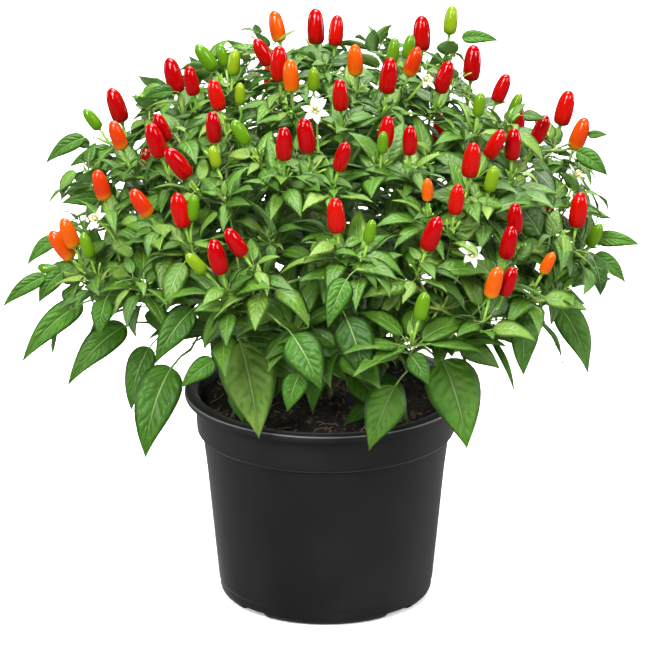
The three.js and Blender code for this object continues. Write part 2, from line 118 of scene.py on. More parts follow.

# Leaves that give the outline, as seen from the front, in mm: the foot's place, the tip's place,
# the width, and for some how much paler (painted light) or darker (painted shade) they are painted.
OUTLINE_LEAVES = [
    (-56, 177, -44, 110, 36, 0.3), (-101, 160, -118, 97, 28, -0.2), (-116, 174, -128, 129, 18),
    (-132, 189, -170, 147, 19), (-161, 205, -201, 163, 18, 0.1), (-186, 224, -215, 202, 11),
    (-175, 227, -191, 205, 12), (-143, 207, -147, 181, 14), (-86, 200, -110, 163, 19),
    (-21, 182, -3, 145, 27, -0.08), (-17, 156, -25, 130, 16), (13, 194, 25, 150, 25, -0.22),
    (45, 147, 28, 102, 26, 0.12), (76, 165, 92, 103, 35, 0.14), (130, 194, 128, 154, 19),
    (-72, 165, -94, 146, 14), (54, 169, 66, 148, 19), (153, 204, 173, 155, 21),
    (108, 179, 123, 141, 5), (13, 220, 1, 187, 17),
    (180, 250, 210, 246, 10), (179, 239, 200, 219, 12), (177, 234, 181, 209, 13),
    (91, 393, 116, 391, 9), (167, 312, 188, 295, 12), (175, 324, 189, 324, 6),
    (-161, 322, -187, 304, 11), (-143, 314, -172, 301, 10), (-158, 317, -175, 321, 7),
    (-151, 278, -175, 275, 10), (-179, 251, -199, 232, 10), (-101, 353, -121, 348, 9),
]


def angles(count, start=0):
    """Evenly spread angles once round."""
    return [TURN * (i + start) / count for i in range(count)]


def held(value, low=0.0, high=1.0):
    """A value kept between two others."""
    return min(max(value, low), high)


def dome_half(z):
    """The dome's half height above or below its waist."""
    return DOME_UP if z > WAIST_Z else DOME_DOWN


def on_dome(x, up):
    """The spot at (x, up) in the front view, in mm, that lies on the near side of the dome."""
    x, up = x * MM, up * MM

    def solve(half):
        a = 1 / DOME_R**2 + VIEW_TILT**2 / half**2
        b = -2 * VIEW_TILT * (up - WAIST_Z) / half**2
        c = x**2 / DOME_R**2 + (up - WAIST_Z) ** 2 / half**2 - 1
        y = (-b - math.sqrt(max(b * b - 4 * a * c, 0))) / (2 * a)
        return Vector((x, y, up - VIEW_TILT * y))

    high = solve(DOME_UP)
    return high if high.z > WAIST_Z else solve(DOME_DOWN)


def round_dome(angle, z):
    """The spot on the dome at an angle round the axis and a height."""
    half = dome_half(z)
    rise = held((z - WAIST_Z) / half, -0.98, 0.98)
    radius = DOME_R * math.sqrt(1 - rise * rise)
    return Vector((radius * math.cos(angle), radius * math.sin(angle), WAIST_Z + rise * half))


def outwards(spot):
    flat = Vector((spot.x, spot.y, 0))
    return flat.normalized() if flat.length > 1e-6 else Vector((0, -1, 0))


def level(angle):
    return Vector((math.cos(angle), math.sin(angle), 0))


def in_mm(*places):
    return [Vector(place) * MM for place in places]


# ---- Node trees, written as formulas ----


class Wire:
    """An output of a node, which can be reckoned with like a number."""

    def __init__(self, socket):
        self.socket, self.tree = socket, socket.id_data

    def into(self, socket):
        self.tree.links.new(self.socket, socket)

    def math(self, operation, *others):
        return add(self.tree, "ShaderNodeMath", dict(enumerate((self, *others))), operation=operation)

    def __add__(self, other):
        return self.math("ADD", other)

    def __sub__(self, other):
        return self.math("SUBTRACT", other)

    def __mul__(self, other):
        return self.math("MULTIPLY", other)

    def __abs__(self):
        return self.math("ABSOLUTE")

    def ramp(self, low, high, bottom=0.0, top=1.0, shape="SMOOTHSTEP"):
        """Eased from bottom to top as this goes from low to high."""
        inputs = {"Value": self, "From Min": low, "From Max": high, "To Min": bottom, "To Max": top}
        return add(self.tree, "ShaderNodeMapRange", inputs, interpolation_type=shape)


def add_node(tree, kind, inputs, **settings):
    """A node with its settings made and its inputs set or linked."""
    made = tree.nodes.new(kind)
    for name, value in settings.items():
        setattr(made, name, value)
    for name, value in inputs.items():
        if isinstance(value, Wire):
            value.into(made.inputs[name])
        else:
            made.inputs[name].default_value = value
    return made


def add(tree, kind, inputs=None, pick=0, **settings):
    """One output of a new node."""
    return Wire(add_node(tree, kind, inputs or {}, **settings).outputs[pick])


def blend(share, first, second):
    tree = next(value.tree for value in (share, first, second) if isinstance(value, Wire))
    return add(tree, "ShaderNodeMix", {0: share, 6: first, 7: second}, 2, data_type="RGBA")


def use_group(tree, group, inputs):
    """The outputs of a group placed in a tree."""
    return [Wire(socket) for socket in add_node(tree, "ShaderNodeGroup", inputs, node_tree=group).outputs]


def light_path(tree, ray):
    """1 for light of this kind, and 0 for the rest."""
    return add(tree, "ShaderNodeLightPath", pick=ray)


def empty_tree(kind, name, inputs, outputs):
    """A new group of nodes: its inputs as wires, the sockets that it ends in, and the identifiers
    of its inputs."""
    tree = bpy.data.node_groups.new(name, kind)
    known = {}
    for title, socket in inputs.items():
        made = tree.interface.new_socket(name=title, in_out="INPUT", socket_type="NodeSocket" + socket)
        known[title] = made.identifier
    for title, socket in outputs.items():
        tree.interface.new_socket(name=title, in_out="OUTPUT", socket_type="NodeSocket" + socket)
    entry = {socket.name: Wire(socket) for socket in tree.nodes.new("NodeGroupInput").outputs}
    return tree, entry, tree.nodes.new("NodeGroupOutput").inputs, known


def colour(red, green, blue):
    """A screen colour, 0 to 255, as the shader's own linear colour."""
    linear = [((c / 255 + 0.055) / 1.055) ** 2.4 if c > 10 else c / 255 / 12.92 for c in (red, green, blue)]
    return (*linear, 1.0)


def mottle_group():
    """Soft patches and fine grain over a surface, two masks from 0 to 1."""
    inputs = {"Place": "Vector", "Patch size": "Float", "Grain size": "Float"}
    outputs = {"Patches": "Float", "Grain": "Float"}
    tree, entry, leave, _ = empty_tree("ShaderNodeTree", "mottle", inputs, outputs)
    for title, size, detail in (("Patches", "Patch size", 3.0), ("Grain", "Grain size", 2.0)):
        noise = {"Vector": entry["Place"], "Scale": entry[size], "Detail": detail}
        add(tree, "ShaderNodeTexNoise", noise).into(leave[title])
    return tree


SIDE_VEINS = 7.5  # side veins to each side of a leaf
VEIN_SWEEP = 0.24  # how far along the leaf a vein has run by the time it reaches the edge
VEIN_CURVE = 1.15


def vein_group():
    """The pattern of a leaf from how far across and along it a point is: the midrib, the side
    veins, and how far the blade puffs up between them."""
    inputs = {"Across": "Float", "Along": "Float", "Seed": "Float"}
    outputs = {"Midrib": "Float", "Veins": "Float", "Puff": "Float"}
    tree, entry, leave, _ = empty_tree("ShaderNodeTree", "leaf_veins", inputs, outputs)
    across, along = entry["Across"], entry["Along"]
    offset = across - 0.5
    side = abs(offset) * 2.0
    place = add(tree, "ShaderNodeCombineXYZ", {0: across * 0.5, 1: along, 2: entry["Seed"]})
    wander = add(tree, "ShaderNodeTexNoise", {"Vector": place, "Scale": 4.0, "Detail": 1.0}) - 0.5
    blister = add(tree, "ShaderNodeTexVoronoi", {"Vector": place, "Scale": 13.0}, feature="SMOOTH_F1")
    reach = side.math("POWER", VEIN_CURVE) * VEIN_SWEEP
    phase = (along - reach) * SIDE_VEINS + (wander * 1.1 + offset.math("SIGN") * 0.2)
    gap = abs((phase + 20.5).math("FRACT") - 0.5)
    midrib = (side - along.ramp(0.0, 1.0, 0.028, 0.006)).ramp(0.0, 0.022, 1.0, 0.0)
    veins = gap.ramp(0.01, 0.06, 1.0, 0.0) * side.ramp(0.55, 1.0, 1.0, 0.15)
    swell = blister.ramp(0.1, 0.6, 1.0, 0.0) * 0.9 + gap.ramp(0.0, 0.42)
    puff = swell * (side.ramp(0.0, 0.25) * side.ramp(1.0, 0.6))
    for title, value in (("Midrib", midrib), ("Veins", veins), ("Puff", puff)):
        value.into(leave[title])
    return tree


MOTTLE = mottle_group()
LEAF_VEINS = vein_group()


# ---- Finishes ----


class Finish:
    """A material with one Principled shader, and the masks that lie over it."""

    def __init__(self, name, mottle=None, **constants):
        self.material = bpy.data.materials.new(name)
        self.material.use_nodes = True
        self.tree = self.material.node_tree
        self.shader = self.tree.nodes["Principled BSDF"]
        for socket, value in constants.items():
            self.shader.inputs[socket.replace("_", " ")].default_value = value
        if mottle:
            self.place = add(self.tree, "ShaderNodeTexCoord", pick="Object")
            sizes = {"Place": self.place, "Patch size": mottle[0], "Grain size": mottle[1]}
            self.patches, self.grain = use_group(self.tree, MOTTLE, sizes)

    def attribute(self, name):
        return add(self.tree, "ShaderNodeAttribute", pick="Fac", attribute_name=name)

    def pattern(self):
        """How far across and along the piece's own pattern a point is."""
        uv = add(self.tree, "ShaderNodeUVMap", uv_map="UVMap")
        split = add_node(self.tree, "ShaderNodeSeparateXYZ", {0: uv})
        return Wire(split.outputs[0]), Wire(split.outputs[1])

    def mask(self, name):
        """The patches, the grain, how far along the pattern, or a value that the mesh holds."""
        known = {"patches": self.patches, "grain": self.grain}
        if name in known:
            return known[name]
        return self.pattern()[1] if name == "along" else self.attribute(name)

    def set(self, **values):
        """Links values to the shader's sockets."""
        for socket, value in values.items():
            value.into(self.shader.inputs[socket.replace("_", " ")])

    def bump(self, height, strength, distance):
        inputs = {"Height": height, "Strength": strength, "Distance": distance}
        self.set(Normal=add(self.tree, "ShaderNodeBump", inputs))

    def lay_over(self, share, other):
        """Mixes another shader over the Principled one."""
        both = {0: share, 1: Wire(self.shader.outputs[0]), 2: other}
        mixed = add(self.tree, "ShaderNodeMixShader", both)
        mixed.into(self.tree.nodes["Material Output"].inputs["Surface"])


def leaf_finish(name, gloss, rough, swell, dark, middle):
    """Glossy green above with paler veins, duller and paler below, and some light through it. Painted shade
    darkens the dips between the blade's puckers, by swell, which also sets the relief.
    """
    look = Finish(name, (70.0, 1500.0), Specular_IOR_Level=gloss)
    across, along = look.pattern()
    tone, under = look.attribute("tone"), look.attribute("under")
    place = {"Across": across, "Along": along, "Seed": tone * 40.0}
    midrib, veins, puff = use_group(look.tree, LEAF_VEINS, place)
    shade = (look.patches - 0.5) * 0.5 + tone
    green = blend(shade.ramp(0.0, 0.6, shape="LINEAR"), dark, middle)
    green = blend(shade.ramp(0.6, 1.0, shape="LINEAR"), green, colour(121, 147, 60))
    # Painted shade: the blade is darker where it dips round the veins and at its edges, where its puckers
    # would shade it.
    green = blend(puff.ramp(0.6, 0.0, 0.0, 0.4) * swell, green, dark)
    stalk = along.ramp(-0.02, 0.0, 1.0, 0.0)
    lines = midrib.math("MAXIMUM", veins * 0.2).math("MAXIMUM", stalk)
    top = blend(lines * 0.75, green, blend(0.5, green, colour(174, 202, 122)))
    surface = blend(under, top, blend(0.45, top, colour(120, 160, 96)))
    look.set(Base_Color=surface, Roughness=look.grain * 0.12 + (under * 0.25 + rough))
    look.bump(puff - midrib * 0.6, 0.5 * swell, 0.0012)
    glow = {"Color": blend(0.55, surface, colour(180, 222, 30))}
    look.lay_over(0.22, add(look.tree, "ShaderNodeBsdfTranslucent", glow))
    return look.material


def fruit_finish(name, skin, blush, shade):
    """A glossy skin whose colour drifts to a blush in patches and to a shade at the calyx."""
    look = Finish(name, (45.0, 2500.0), Coat_Roughness=0.08, Specular_IOR_Level=0.03)
    drift = look.attribute("tone") * 0.6 + look.patches * 0.4
    tint = blend(drift.ramp(0.35, 0.85), colour(*skin), colour(*blush))
    tint = blend(look.pattern()[1].ramp(0.3, 0.0, 0.0, 0.8), tint, colour(*shade))
    look.set(Base_Color=tint, Roughness=look.grain.ramp(0.3, 0.8, 0.16, 0.26))
    look.set(Coat_Weight=look.patches.ramp(0.2, 0.8, 0.4, 0.6))
    look.bump(look.patches, 0.15, 0.0008)
    return look.material


def pot_finish():
    """Black moulded plastic with a fine grain, dusty low down, and with a painted highlight: pale, patchy
    lines along its lip and along the step at the foot of its band.
    """
    constants = {"Specular_IOR_Level": 0.4, "Sheen_Weight": 0.14, "Sheen_Roughness": 0.35}
    look = Finish("pot_plastic", (14.0, 2200.0), **constants)
    height = add(look.tree, "ShaderNodeSeparateXYZ", {0: look.place}, 2)
    dust = height.ramp(0.07, 0.0, 0.15, 0.5) * look.patches.ramp(0.4, 0.7)
    # Painted highlight: pale lines along the lip's top edge and the band's step, where light catches them,
    # broken into patches.
    lip = abs(height - (POT_H - 0.6 * MM)).ramp(0.1 * MM, 0.6 * MM, 1.0, 0.0)
    band_edge_highlight = abs(height - (POT_H - 29.0 * MM)).ramp(0.0, 1.0 * MM, 0.35, 0.0)
    painted_edge_highlight = lip.math("MAXIMUM", band_edge_highlight) * look.patches.ramp(0.3, 0.6, 0.3, 0.8)
    tint = blend(painted_edge_highlight, blend(dust, colour(14, 14, 15), colour(30, 30, 30)), colour(112, 112, 115))
    look.set(Base_Color=tint, Roughness=look.patches.ramp(0.3, 0.7, 0.42, 0.52))
    look.bump(look.grain, 0.12, 0.0004)
    return look.material


# The plainer finishes: roughness, patch and grain size, strength and depth of the relief, ground
# colour, then layers over it. A layer is a mask and a colour, and between them, for a mask that is
# eased, where it starts, where it is full and how much it is then.
PATCHY = ("patches", 0.35, 0.65, 1.0)
PLAIN_FINISHES = {
    "fresh_stalk": (0.45, (90, 1800), 0.2, 0.0004, (88, 132, 34), [(*PATCHY, (138, 174, 62))]),
    "twig": (0.45, (90, 1800), 0.2, 0.0004, (64, 100, 30), [(*PATCHY, (122, 142, 62))]),
    "young_bark": (0.75, (55, 700), 0.5, 0.0006, (84, 102, 44), [
        (*PATCHY, (104, 90, 58)), ("grain", 0.5, 0.75, 1.0, (170, 158, 120)),
    ]),
    "petal": (0.55, (300, 2500), 0.15, 0.0003, (196, 208, 132), [("along", 0.0, 0.35, 1.0, (232, 233, 226))]),
    "anther": (0.6, (400, 3000), 0.0, 0.0, (120, 128, 96), [("patches", (206, 200, 130))]),
    "potting_soil": (0.95, (220, 1100), 1.0, 0.002, (12, 8, 6), [
        ("patches", 0.4, 0.65, 1.0, (36, 24, 17)), ("grain", 0.66, 0.74, 1.0, (88, 62, 42)),
    ]),
    "bark_chip": (0.9, (260, 1600), 0.6, 0.001, (24, 17, 12), [
        ("tone", (92, 74, 56)), ("patches", 0.5, 0.7, 0.5, (150, 130, 108)),
    ]),
    "pale_root": (0.8, (120, 1500), 0.4, 0.0004, (96, 70, 50), [("patches", (196, 172, 140))]),
}


def plain_finish(name):
    """One of the plainer finishes."""
    rough, mottle, strength, distance, ground, layers = PLAIN_FINISHES[name]
    look = Finish(name, mottle, Roughness=rough)
    tint = colour(*ground)
    for mask, *ends, top in layers:
        share = look.mask(mask)
        if ends:
            low, high, most = ends
            share = share.ramp(low, high, 0.0, most)
        tint = blend(share, tint, colour(*top))
    look.set(Base_Color=tint)
    if strength:
        look.bump(look.grain, strength, distance)
    return look.material


def floor_finish():
    """White, lit a little from within, and darker in the gloss of what stands on it and in the
    light that it throws back up."""
    glow = {"Emission_Color": (1, 1, 1, 1), "Emission_Strength": 0.32}
    look = Finish("white_floor", Base_Color=colour(250, 250, 250), Roughness=0.9, **glow)
    share = light_path(look.tree, "Is Diffuse Ray") * 0.5 + light_path(look.tree, "Is Glossy Ray")
    look.lay_over(share, add(look.tree, "ShaderNodeBsdfDiffuse", {"Color": colour(76, 76, 76)}))
    return look.material


# ---- Geometry Nodes that grow and scatter ----


def geometry_tree(name, inputs):
    inputs = {"Geometry": "Geometry", **inputs, "Finish": "Material"}
    return empty_tree("GeometryNodeTree", name, inputs, {"Geometry": "Geometry"})


def kept(tree, name, kind):
    """A value that the mesh's points hold."""
    return add(tree, "GeometryNodeInputNamedAttribute", {"Name": name}, "Attribute", data_type=kind)


def finished(geometry, entry, leave):
    """Ends a tree: real meshes, with their material."""
    real = add(geometry.tree, "GeometryNodeRealizeInstances", {"Geometry": geometry})
    done = {"Geometry": real, "Material": entry["Finish"]}
    add(geometry.tree, "GeometryNodeSetMaterial", done).into(leave["Geometry"])


def placed(points, entry, kind, turn, size):
    """The collection's shapes at points, each point with its own kind of shape, turn and size."""
    choice = {"Collection": entry["Shapes"], "Separate Children": True, "Reset Children": True}
    shapes = add(points.tree, "GeometryNodeCollectionInfo", choice)
    return add(points.tree, "GeometryNodeInstanceOnPoints", {
        "Points": points, "Instance": shapes, "Pick Instance": True,
        "Instance Index": kind, "Rotation": turn, "Scale": size,
    })


def growing_tree():
    """Puts a shape at each point. The points' kind, turn and size say which, which way and how big."""
    tree, entry, leave, known = geometry_tree("growing_shapes", {"Shapes": "Collection", "Size": "Float"})
    kind, turn = kept(tree, "kind", "INT"), kept(tree, "turn", "QUATERNION")
    size = kept(tree, "size", "FLOAT") * entry["Size"]
    finished(placed(entry["Geometry"], entry, kind, turn, size), entry, leave)
    return tree, known


def stem_tree():
    """Round stems along the mesh's edges, as thick as the points' girth says."""
    tree, entry, leave, known = geometry_tree("round_stems", {"Sides": "Int", "Thickness": "Float"})
    ring = {"Resolution": entry["Sides"], "Radius": 1.0}
    tube = {
        "Curve": add(tree, "GeometryNodeMeshToCurve", {"Mesh": entry["Geometry"]}),
        "Profile Curve": add(tree, "GeometryNodeCurvePrimitiveCircle", ring),
        "Scale": kept(tree, "girth", "FLOAT") * entry["Thickness"], "Fill Caps": True,
    }
    smooth = {"Geometry": add(tree, "GeometryNodeCurveToMesh", tube)}
    finished(add(tree, "GeometryNodeSetShadeSmooth", smooth), entry, leave)
    return tree, known


def scatter_tree():
    """Loose bits scattered over a surface, each lying at its own turn, size and tone."""
    inputs = {
        "Shapes": "Collection", "Density": "Float", "Smallest": "Float", "Largest": "Float",
        "Tilt": "Float", "Seed": "Int",
    }
    tree, entry, leave, known = geometry_tree("scattered_bits", inputs)

    def drawn(kind, low, high, seed):
        place = ("FLOAT_VECTOR", "FLOAT", "INT").index(kind)
        values = {2 * place: low, 2 * place + 1: high, "Seed": seed}
        return add(tree, "FunctionNodeRandomValue", values, place, data_type=kind)

    spread = {"Mesh": entry["Geometry"], "Density": entry["Density"], "Seed": entry["Seed"]}
    spots = add(tree, "GeometryNodeDistributePointsOnFaces", spread)
    tilt = entry["Tilt"] * -1.0
    least = add(tree, "ShaderNodeCombineXYZ", {0: tilt, 1: tilt, 2: 0.0})
    most = add(tree, "ShaderNodeCombineXYZ", {0: entry["Tilt"], 1: entry["Tilt"], 2: TURN})
    turn = add(tree, "FunctionNodeEulerToRotation", {0: drawn("FLOAT_VECTOR", least, most, 11)})
    size = drawn("FLOAT", entry["Smallest"], entry["Largest"], 12)
    bits = placed(spots, entry, drawn("INT", 0, 3, 13), turn, size)
    toned = {"Geometry": bits, "Name": "tone", "Value": drawn("FLOAT", 0.0, 1.0, 14)}
    named = add(tree, "GeometryNodeStoreNamedAttribute", toned, data_type="FLOAT", domain="INSTANCE")
    finished(named, entry, leave)
    return tree, known


GROWING = growing_tree()
STEMS = stem_tree()
SCATTER = scatter_tree()


# ---- Pieces made by the trees, and meshes ----


def shown(name, mesh):
    piece = bpy.data.objects.new(name, mesh)
    bpy.context.scene.collection.objects.link(piece)
    return piece


def worked_out(piece):
    """Turns a piece with live modifiers into a plain mesh."""
    ready = piece.evaluated_get(bpy.context.evaluated_depsgraph_get())
    mesh = bpy.data.meshes.new_from_object(ready)
    piece.modifiers.clear()
    piece.data = mesh
    mesh.name = piece.name
    return piece


def made_by(name, mesh, tree_and_inputs, **values):
    """A piece that a Geometry Nodes tree makes from a mesh, as a plain mesh."""
    tree, known = tree_and_inputs
    piece = shown(name, mesh)
    modifier = piece.modifiers.new(tree.name, "NODES")
    modifier.node_group = tree
    for socket, value in values.items():
        modifier[known[socket]] = value
    return worked_out(piece)


def hold(mesh, title, kind, domain, values):
    """Stores a value for each point or face of a mesh."""
    column = np.array(values, dtype=np.int32 if kind == "INT" else np.float32)
    mesh.attributes.new(title, kind, domain).data.foreach_set("value", column.ravel())


def grown(name, plants, shapes, finish):
    """Shapes grown at spots: plants is a list of (spot, turn, size, kind, tone)."""
    mesh = bpy.data.meshes.new(name + "_spots")
    mesh.from_pydata([spot for spot, *_ in plants], [], [])
    columns = (("turn", "QUATERNION"), ("size", "FLOAT"), ("kind", "INT"), ("tone", "FLOAT"))
    for place, (title, kind) in enumerate(columns, start=1):
        hold(mesh, title, kind, "POINT", [plant[place] for plant in plants])
    return made_by(name, mesh, GROWING, Shapes=shapes, Size=1.0, Finish=finish)


def stems(name, lines, finish, sides=6):
    """Round stems: lines is a list of (points, radii), both of one length."""
    mesh = bpy.data.meshes.new(name + "_lines")
    spots, edges, girths = [], [], []
    for points, radii in lines:
        edges += [(i - 1, i) for i in range(len(spots) + 1, len(spots) + len(points))]
        spots += points
        girths += radii
    mesh.from_pydata(spots, edges, [])
    hold(mesh, "girth", "FLOAT", "POINT", girths)
    return made_by(name, mesh, STEMS, Sides=sides, Thickness=1.0, Finish=finish)


def collected(title, shapes):
    """A collection of shapes to grow or scatter, kept out of the scene."""
    kept = bpy.data.collections.new(title)
    for index, mesh in enumerate(shapes):
        kept.objects.link(bpy.data.objects.new(f"{title}_{index:02d}", mesh))
    return kept


def smooth_mesh(name, corners, faces, spread=None, under=None, tone=None):
    """A smooth-shaded mesh. spread is each corner's place on the pattern, under marks lower faces,
    and tone is one value for all of it."""
    mesh = bpy.data.meshes.new(name)
    mesh.from_pydata([tuple(corner) for corner in corners], [], faces)
    mesh.shade_smooth()
    if spread is not None:
        layer = mesh.uv_layers.new(name="UVMap")
        order = np.empty(len(mesh.loops), dtype=np.int32)
        mesh.loops.foreach_get("vertex_index", order)
        layer.uv.foreach_set("vector", np.array(spread, dtype=np.float32)[order].ravel())
    if under is not None:
        hold(mesh, "under", "FLOAT", "FACE", under)
    if tone is not None:
        hold(mesh, "tone", "FLOAT", "POINT", [tone] * len(mesh.vertices))
    return mesh


def joined_parts(name, parts):
    """One smooth mesh of several (corners, faces, pattern places)."""
    corners, faces, spread = [], [], []
    for some, more, places in parts:
        faces += [tuple(len(corners) + i for i in face) for face in more]
        corners += some
        spread += places
    return smooth_mesh(name, corners, faces, spread)


def band(a, b, flip=False):
    """The faces between two rings of corners."""
    faces = [(a[i], a[j], b[j], b[i]) for i, j in enumerate([*range(1, len(a)), 0])]
    return [(p, s, r, q) for p, q, r, s in faces] if flip else faces


# ---- Shapes of leaf, fruit, calyx, bud and flower ----

LEAF_STALK = 0.3  # length of a leaf's stalk for each unit of blade
# how far along the leaf each ring of its stalk is, and its radius
STALK_RINGS = ((0.0, 0.019), (0.15, 0.014), (LEAF_STALK, 0.015), (LEAF_STALK + 0.3, 0.009))
OFF_THE_BLADE = (0.5, -0.2)  # where the stalk lies on the pattern
SHEET = 0.006  # thickness of the middle of a blade


def blade_width(along):
    """Half width of a blade of unit length and unit width, widest a little before a third of the way."""
    widest = 0.287**0.5 * 0.713**1.24
    return 0.5 * along**0.5 * (1 - along) ** 1.24 / widest


def leaf_centre(droop, twist, side, steps=48):
    """Frames down the middle of a leaf: (length so far, spot, ahead, across, upward) for each step."""
    frames, spot, total = [], Vector((0, 0, 0)), 1 + LEAF_STALK
    for step in range(steps + 1):
        length = total * step / steps
        blade = max(length - LEAF_STALK, 0)
        pitch = 0.25 - 0.5 * length / total - droop * blade**1.25
        turn = side * (blade - 4 * max(LEAF_STALK - length, 0))
        ahead = Vector((math.sin(turn) * math.cos(pitch), math.cos(turn) * math.cos(pitch), math.sin(pitch)))
        across = ahead.cross(UP).normalized()
        across = Quaternion(ahead, twist * blade) @ across
        frames.append((length, spot.copy(), ahead, across, across.cross(ahead)))
        spot = spot + ahead * (total / steps)
    return frames


def frame_at(frames, length):
    place = held(length / frames[-1][0]) * (len(frames) - 1)
    index = min(int(place), len(frames) - 2)
    share = place - index
    return [a.lerp(b, share) for a, b in zip(frames[index][1:], frames[index + 1][1:])]


def leaf_mesh(name, width, droop, fold, twist, side, wave, rows=9, columns=4, pucker=0.0):
    """A leaf of unit blade length, closed all round. It runs from its stalk's foot at the origin
    along +Y, with its top up: a blade with two skins that meet at its edge, and a stalk that runs
    on under the blade as its midrib."""
    frames = leaf_centre(droop, twist, side)
    corners, faces, spread, under = [], [], [], []

    def corner(along, v, lower):
        spot, _, across, upward = frame_at(frames, LEAF_STALK + along)
        half = width * blade_width(along)
        ripple = math.sin(along * 11 + 2.1 * math.copysign(1, v) + width * 40)
        lift = half * (fold * abs(v) - 0.32 * v * v) + wave * ripple * v * v
        vein = (along - VEIN_SWEEP * abs(v) ** VEIN_CURVE) * SIDE_VEINS + 0.2 * math.copysign(1, v)
        bulge = abs((vein + 20.5) % 1 - 0.5) * 2
        lift += pucker * bulge * math.sin(math.pi * min(abs(v), 1)) * math.sin(math.pi * along)
        sheet = SHEET * (1 - v * v) * (1 if lower else 0)
        corners.append(spot + across * (v * half) + upward * (lift - sheet))
        spread.append(((v + 1) / 2, along))
        return len(corners) - 1

    def shares(count):
        return [0.5 * (1 - math.cos(math.pi * (i / count) ** 1.1)) for i in range(1, count)]

    base, tip = corner(0.0, 0.0, False), corner(1.0, 0.0, False)
    above, below = [], []
    for along in shares(rows):
        top = [corner(along, 2 * i / columns - 1, False) for i in range(columns + 1)]
        bottom = [corner(along, 4 * i / columns - 1, True) for i in range(1, columns // 2)]
        above.append(top)
        below.append([top[0], *bottom, top[-1]])
    for skin, lower in ((above, False), (below, True)):
        for i in range(len(skin[0]) - 1):
            fans = [(base, skin[0][i + 1], skin[0][i]), (tip, skin[-1][i], skin[-1][i + 1])]
            quads = [(a[i], a[i + 1], b[i + 1], b[i]) for a, b in zip(skin, skin[1:])]
            for face in fans + quads:
                faces.append(face[::-1] if lower else face)
                under.append(1.0 if lower else 0.0)
    add_leaf_stalk(frames, corners, faces, spread, under)
    return smooth_mesh(name, corners, faces, spread, under)


def add_leaf_stalk(frames, corners, faces, spread, under, sides=3):
    """The stalk, thickest at its foot, whose end tapers away under the blade."""
    first = len(corners)
    for length, radius in STALK_RINGS:
        spot, _, across, upward = frame_at(frames, length)
        spot = spot - upward * (0.004 if length >= LEAF_STALK else 0)
        for angle in angles(sides, 0.5):
            corners.append(spot + across * (radius * math.cos(angle)) + upward * (radius * math.sin(angle)))
    spot, _, _, upward = frame_at(frames, LEAF_STALK + 0.75)
    corners.append(spot - upward * 0.008)
    end = len(corners) - 1
    rings = [range(start, start + sides) for start in range(first, end, sides)]
    for a, b in zip(rings, rings[1:]):
        faces += band(a, b, flip=True)
    faces += [(rings[-1][i], end, rings[-1][(i + 1) % sides]) for i in range(sides)]
    faces.append(tuple(rings[0]))
    spread += [OFF_THE_BLADE] * (len(corners) - first)
    under += [0.0] * (len(faces) - len(under))


# width, droop, fold, twist, turn to the side and ripple of each kind of leaf
LEAF_KINDS = [
    (0.52, 0.50, 0.30, 0.15, 0.12, 0.010), (0.47, 0.75, 0.45, -0.20, -0.15, 0.014),
    (0.56, 0.35, 0.25, 0.25, -0.08, 0.012), (0.43, 0.90, 0.50, 0.10, 0.20, 0.010),
    (0.53, 0.60, 0.20, -0.35, 0.05, 0.016), (0.42, 0.45, 0.60, 0.30, -0.25, 0.012),
    (0.49, 1.00, 0.40, -0.15, 0.10, 0.014), (0.58, 0.25, 0.40, 0.05, -0.18, 0.018),
]
LARGE_LEAF_KINDS = [
    (0.12, 0.50, 0.60, 0.20, 0.40, 0.006), (0.30, 0.40, 0.50, 0.25, 0.45, 0.010),
    (0.36, 0.45, 0.45, -0.20, 0.50, 0.012), (0.41, 0.30, 0.40, -0.25, 0.42, 0.014),
    (0.45, 0.60, 0.50, 0.20, 0.38, 0.014), (0.49, 0.35, 0.35, 0.25, 0.35, 0.012),
    (0.53, 0.50, 0.45, -0.20, 0.32, 0.014), (0.58, 0.30, 0.35, 0.20, 0.26, 0.010),
    (0.62, 0.55, 0.40, -0.15, 0.28, 0.012),
]


def in_mm_pairs(outline):
    return [(radius * MM, height * MM) for radius, height in outline]


def lathe(profile, sides, lobes=0, depth=0.0, bend=0.0):
    """Corners, faces and pattern places of a closed turned shape along +Z: profile is a list of
    (radius, height), its first and last radius nothing. Lobes swell it round its girth, and it bends
    to the side by the square of its height."""
    corners, faces, spread, rings = [], [], [], []
    top = max(height for _, height in profile)
    for radius, height in profile:
        lean = bend * (height / top) ** 2
        if radius < 1e-9:
            corners.append(Vector((lean, 0, height)))
            spread.append((0.5, height / top))
            rings.append([len(corners) - 1])
            continue
        ring = []
        for i, angle in enumerate(angles(sides)):
            swell = radius * (1 + depth * math.cos(lobes * angle + 0.6))
            corners.append(Vector((lean + swell * math.cos(angle), swell * math.sin(angle), height)))
            spread.append((i / sides, height / top))
            ring.append(len(corners) - 1)
        rings.append(ring)
    for a, b in zip(rings, rings[1:]):
        if len(a) == 1:
            faces += [(a[0], q, p) for p, q in zip(b, b[1:] + b[:1])]
        elif len(b) == 1:
            faces += [(p, q, b[0]) for p, q in zip(a, a[1:] + a[:1])]
        else:
            faces += band(a, b)
    return corners, faces, spread


# the turned outline of a fruit from its calyx to its tip: share of its radius, share of its length
FRUIT_OUTLINE = [
    (0, 0.02), (0.36, 0.004), (0.64, 0.0), (0.81, 0.022), (0.91, 0.07), (0.975, 0.15), (1.01, 0.25),
    (1.02, 0.36), (1.005, 0.48), (0.965, 0.60), (0.90, 0.705), (0.805, 0.80), (0.665, 0.88), (0.46, 0.945),
    (0.22, 0.985), (0, 1.0),
]
FRUIT_KINDS = [(3, 0.014, 0.5), (2, 0.025, -0.7), (4, 0.010, 0.2), (3, 0.020, 1.0)]  # lobes, depth, bend mm


def fruit_mesh(name, kind, length, radius, sides, tone=None):
    lobes, depth, bend = FRUIT_KINDS[kind % len(FRUIT_KINDS)]
    profile = [(0.97 * r * radius, z * length) for r, z in FRUIT_OUTLINE]
    corners, faces, spread = lathe(profile, sides, lobes, depth, bend * MM)
    return smooth_mesh(name, corners, faces, spread, tone=tone)


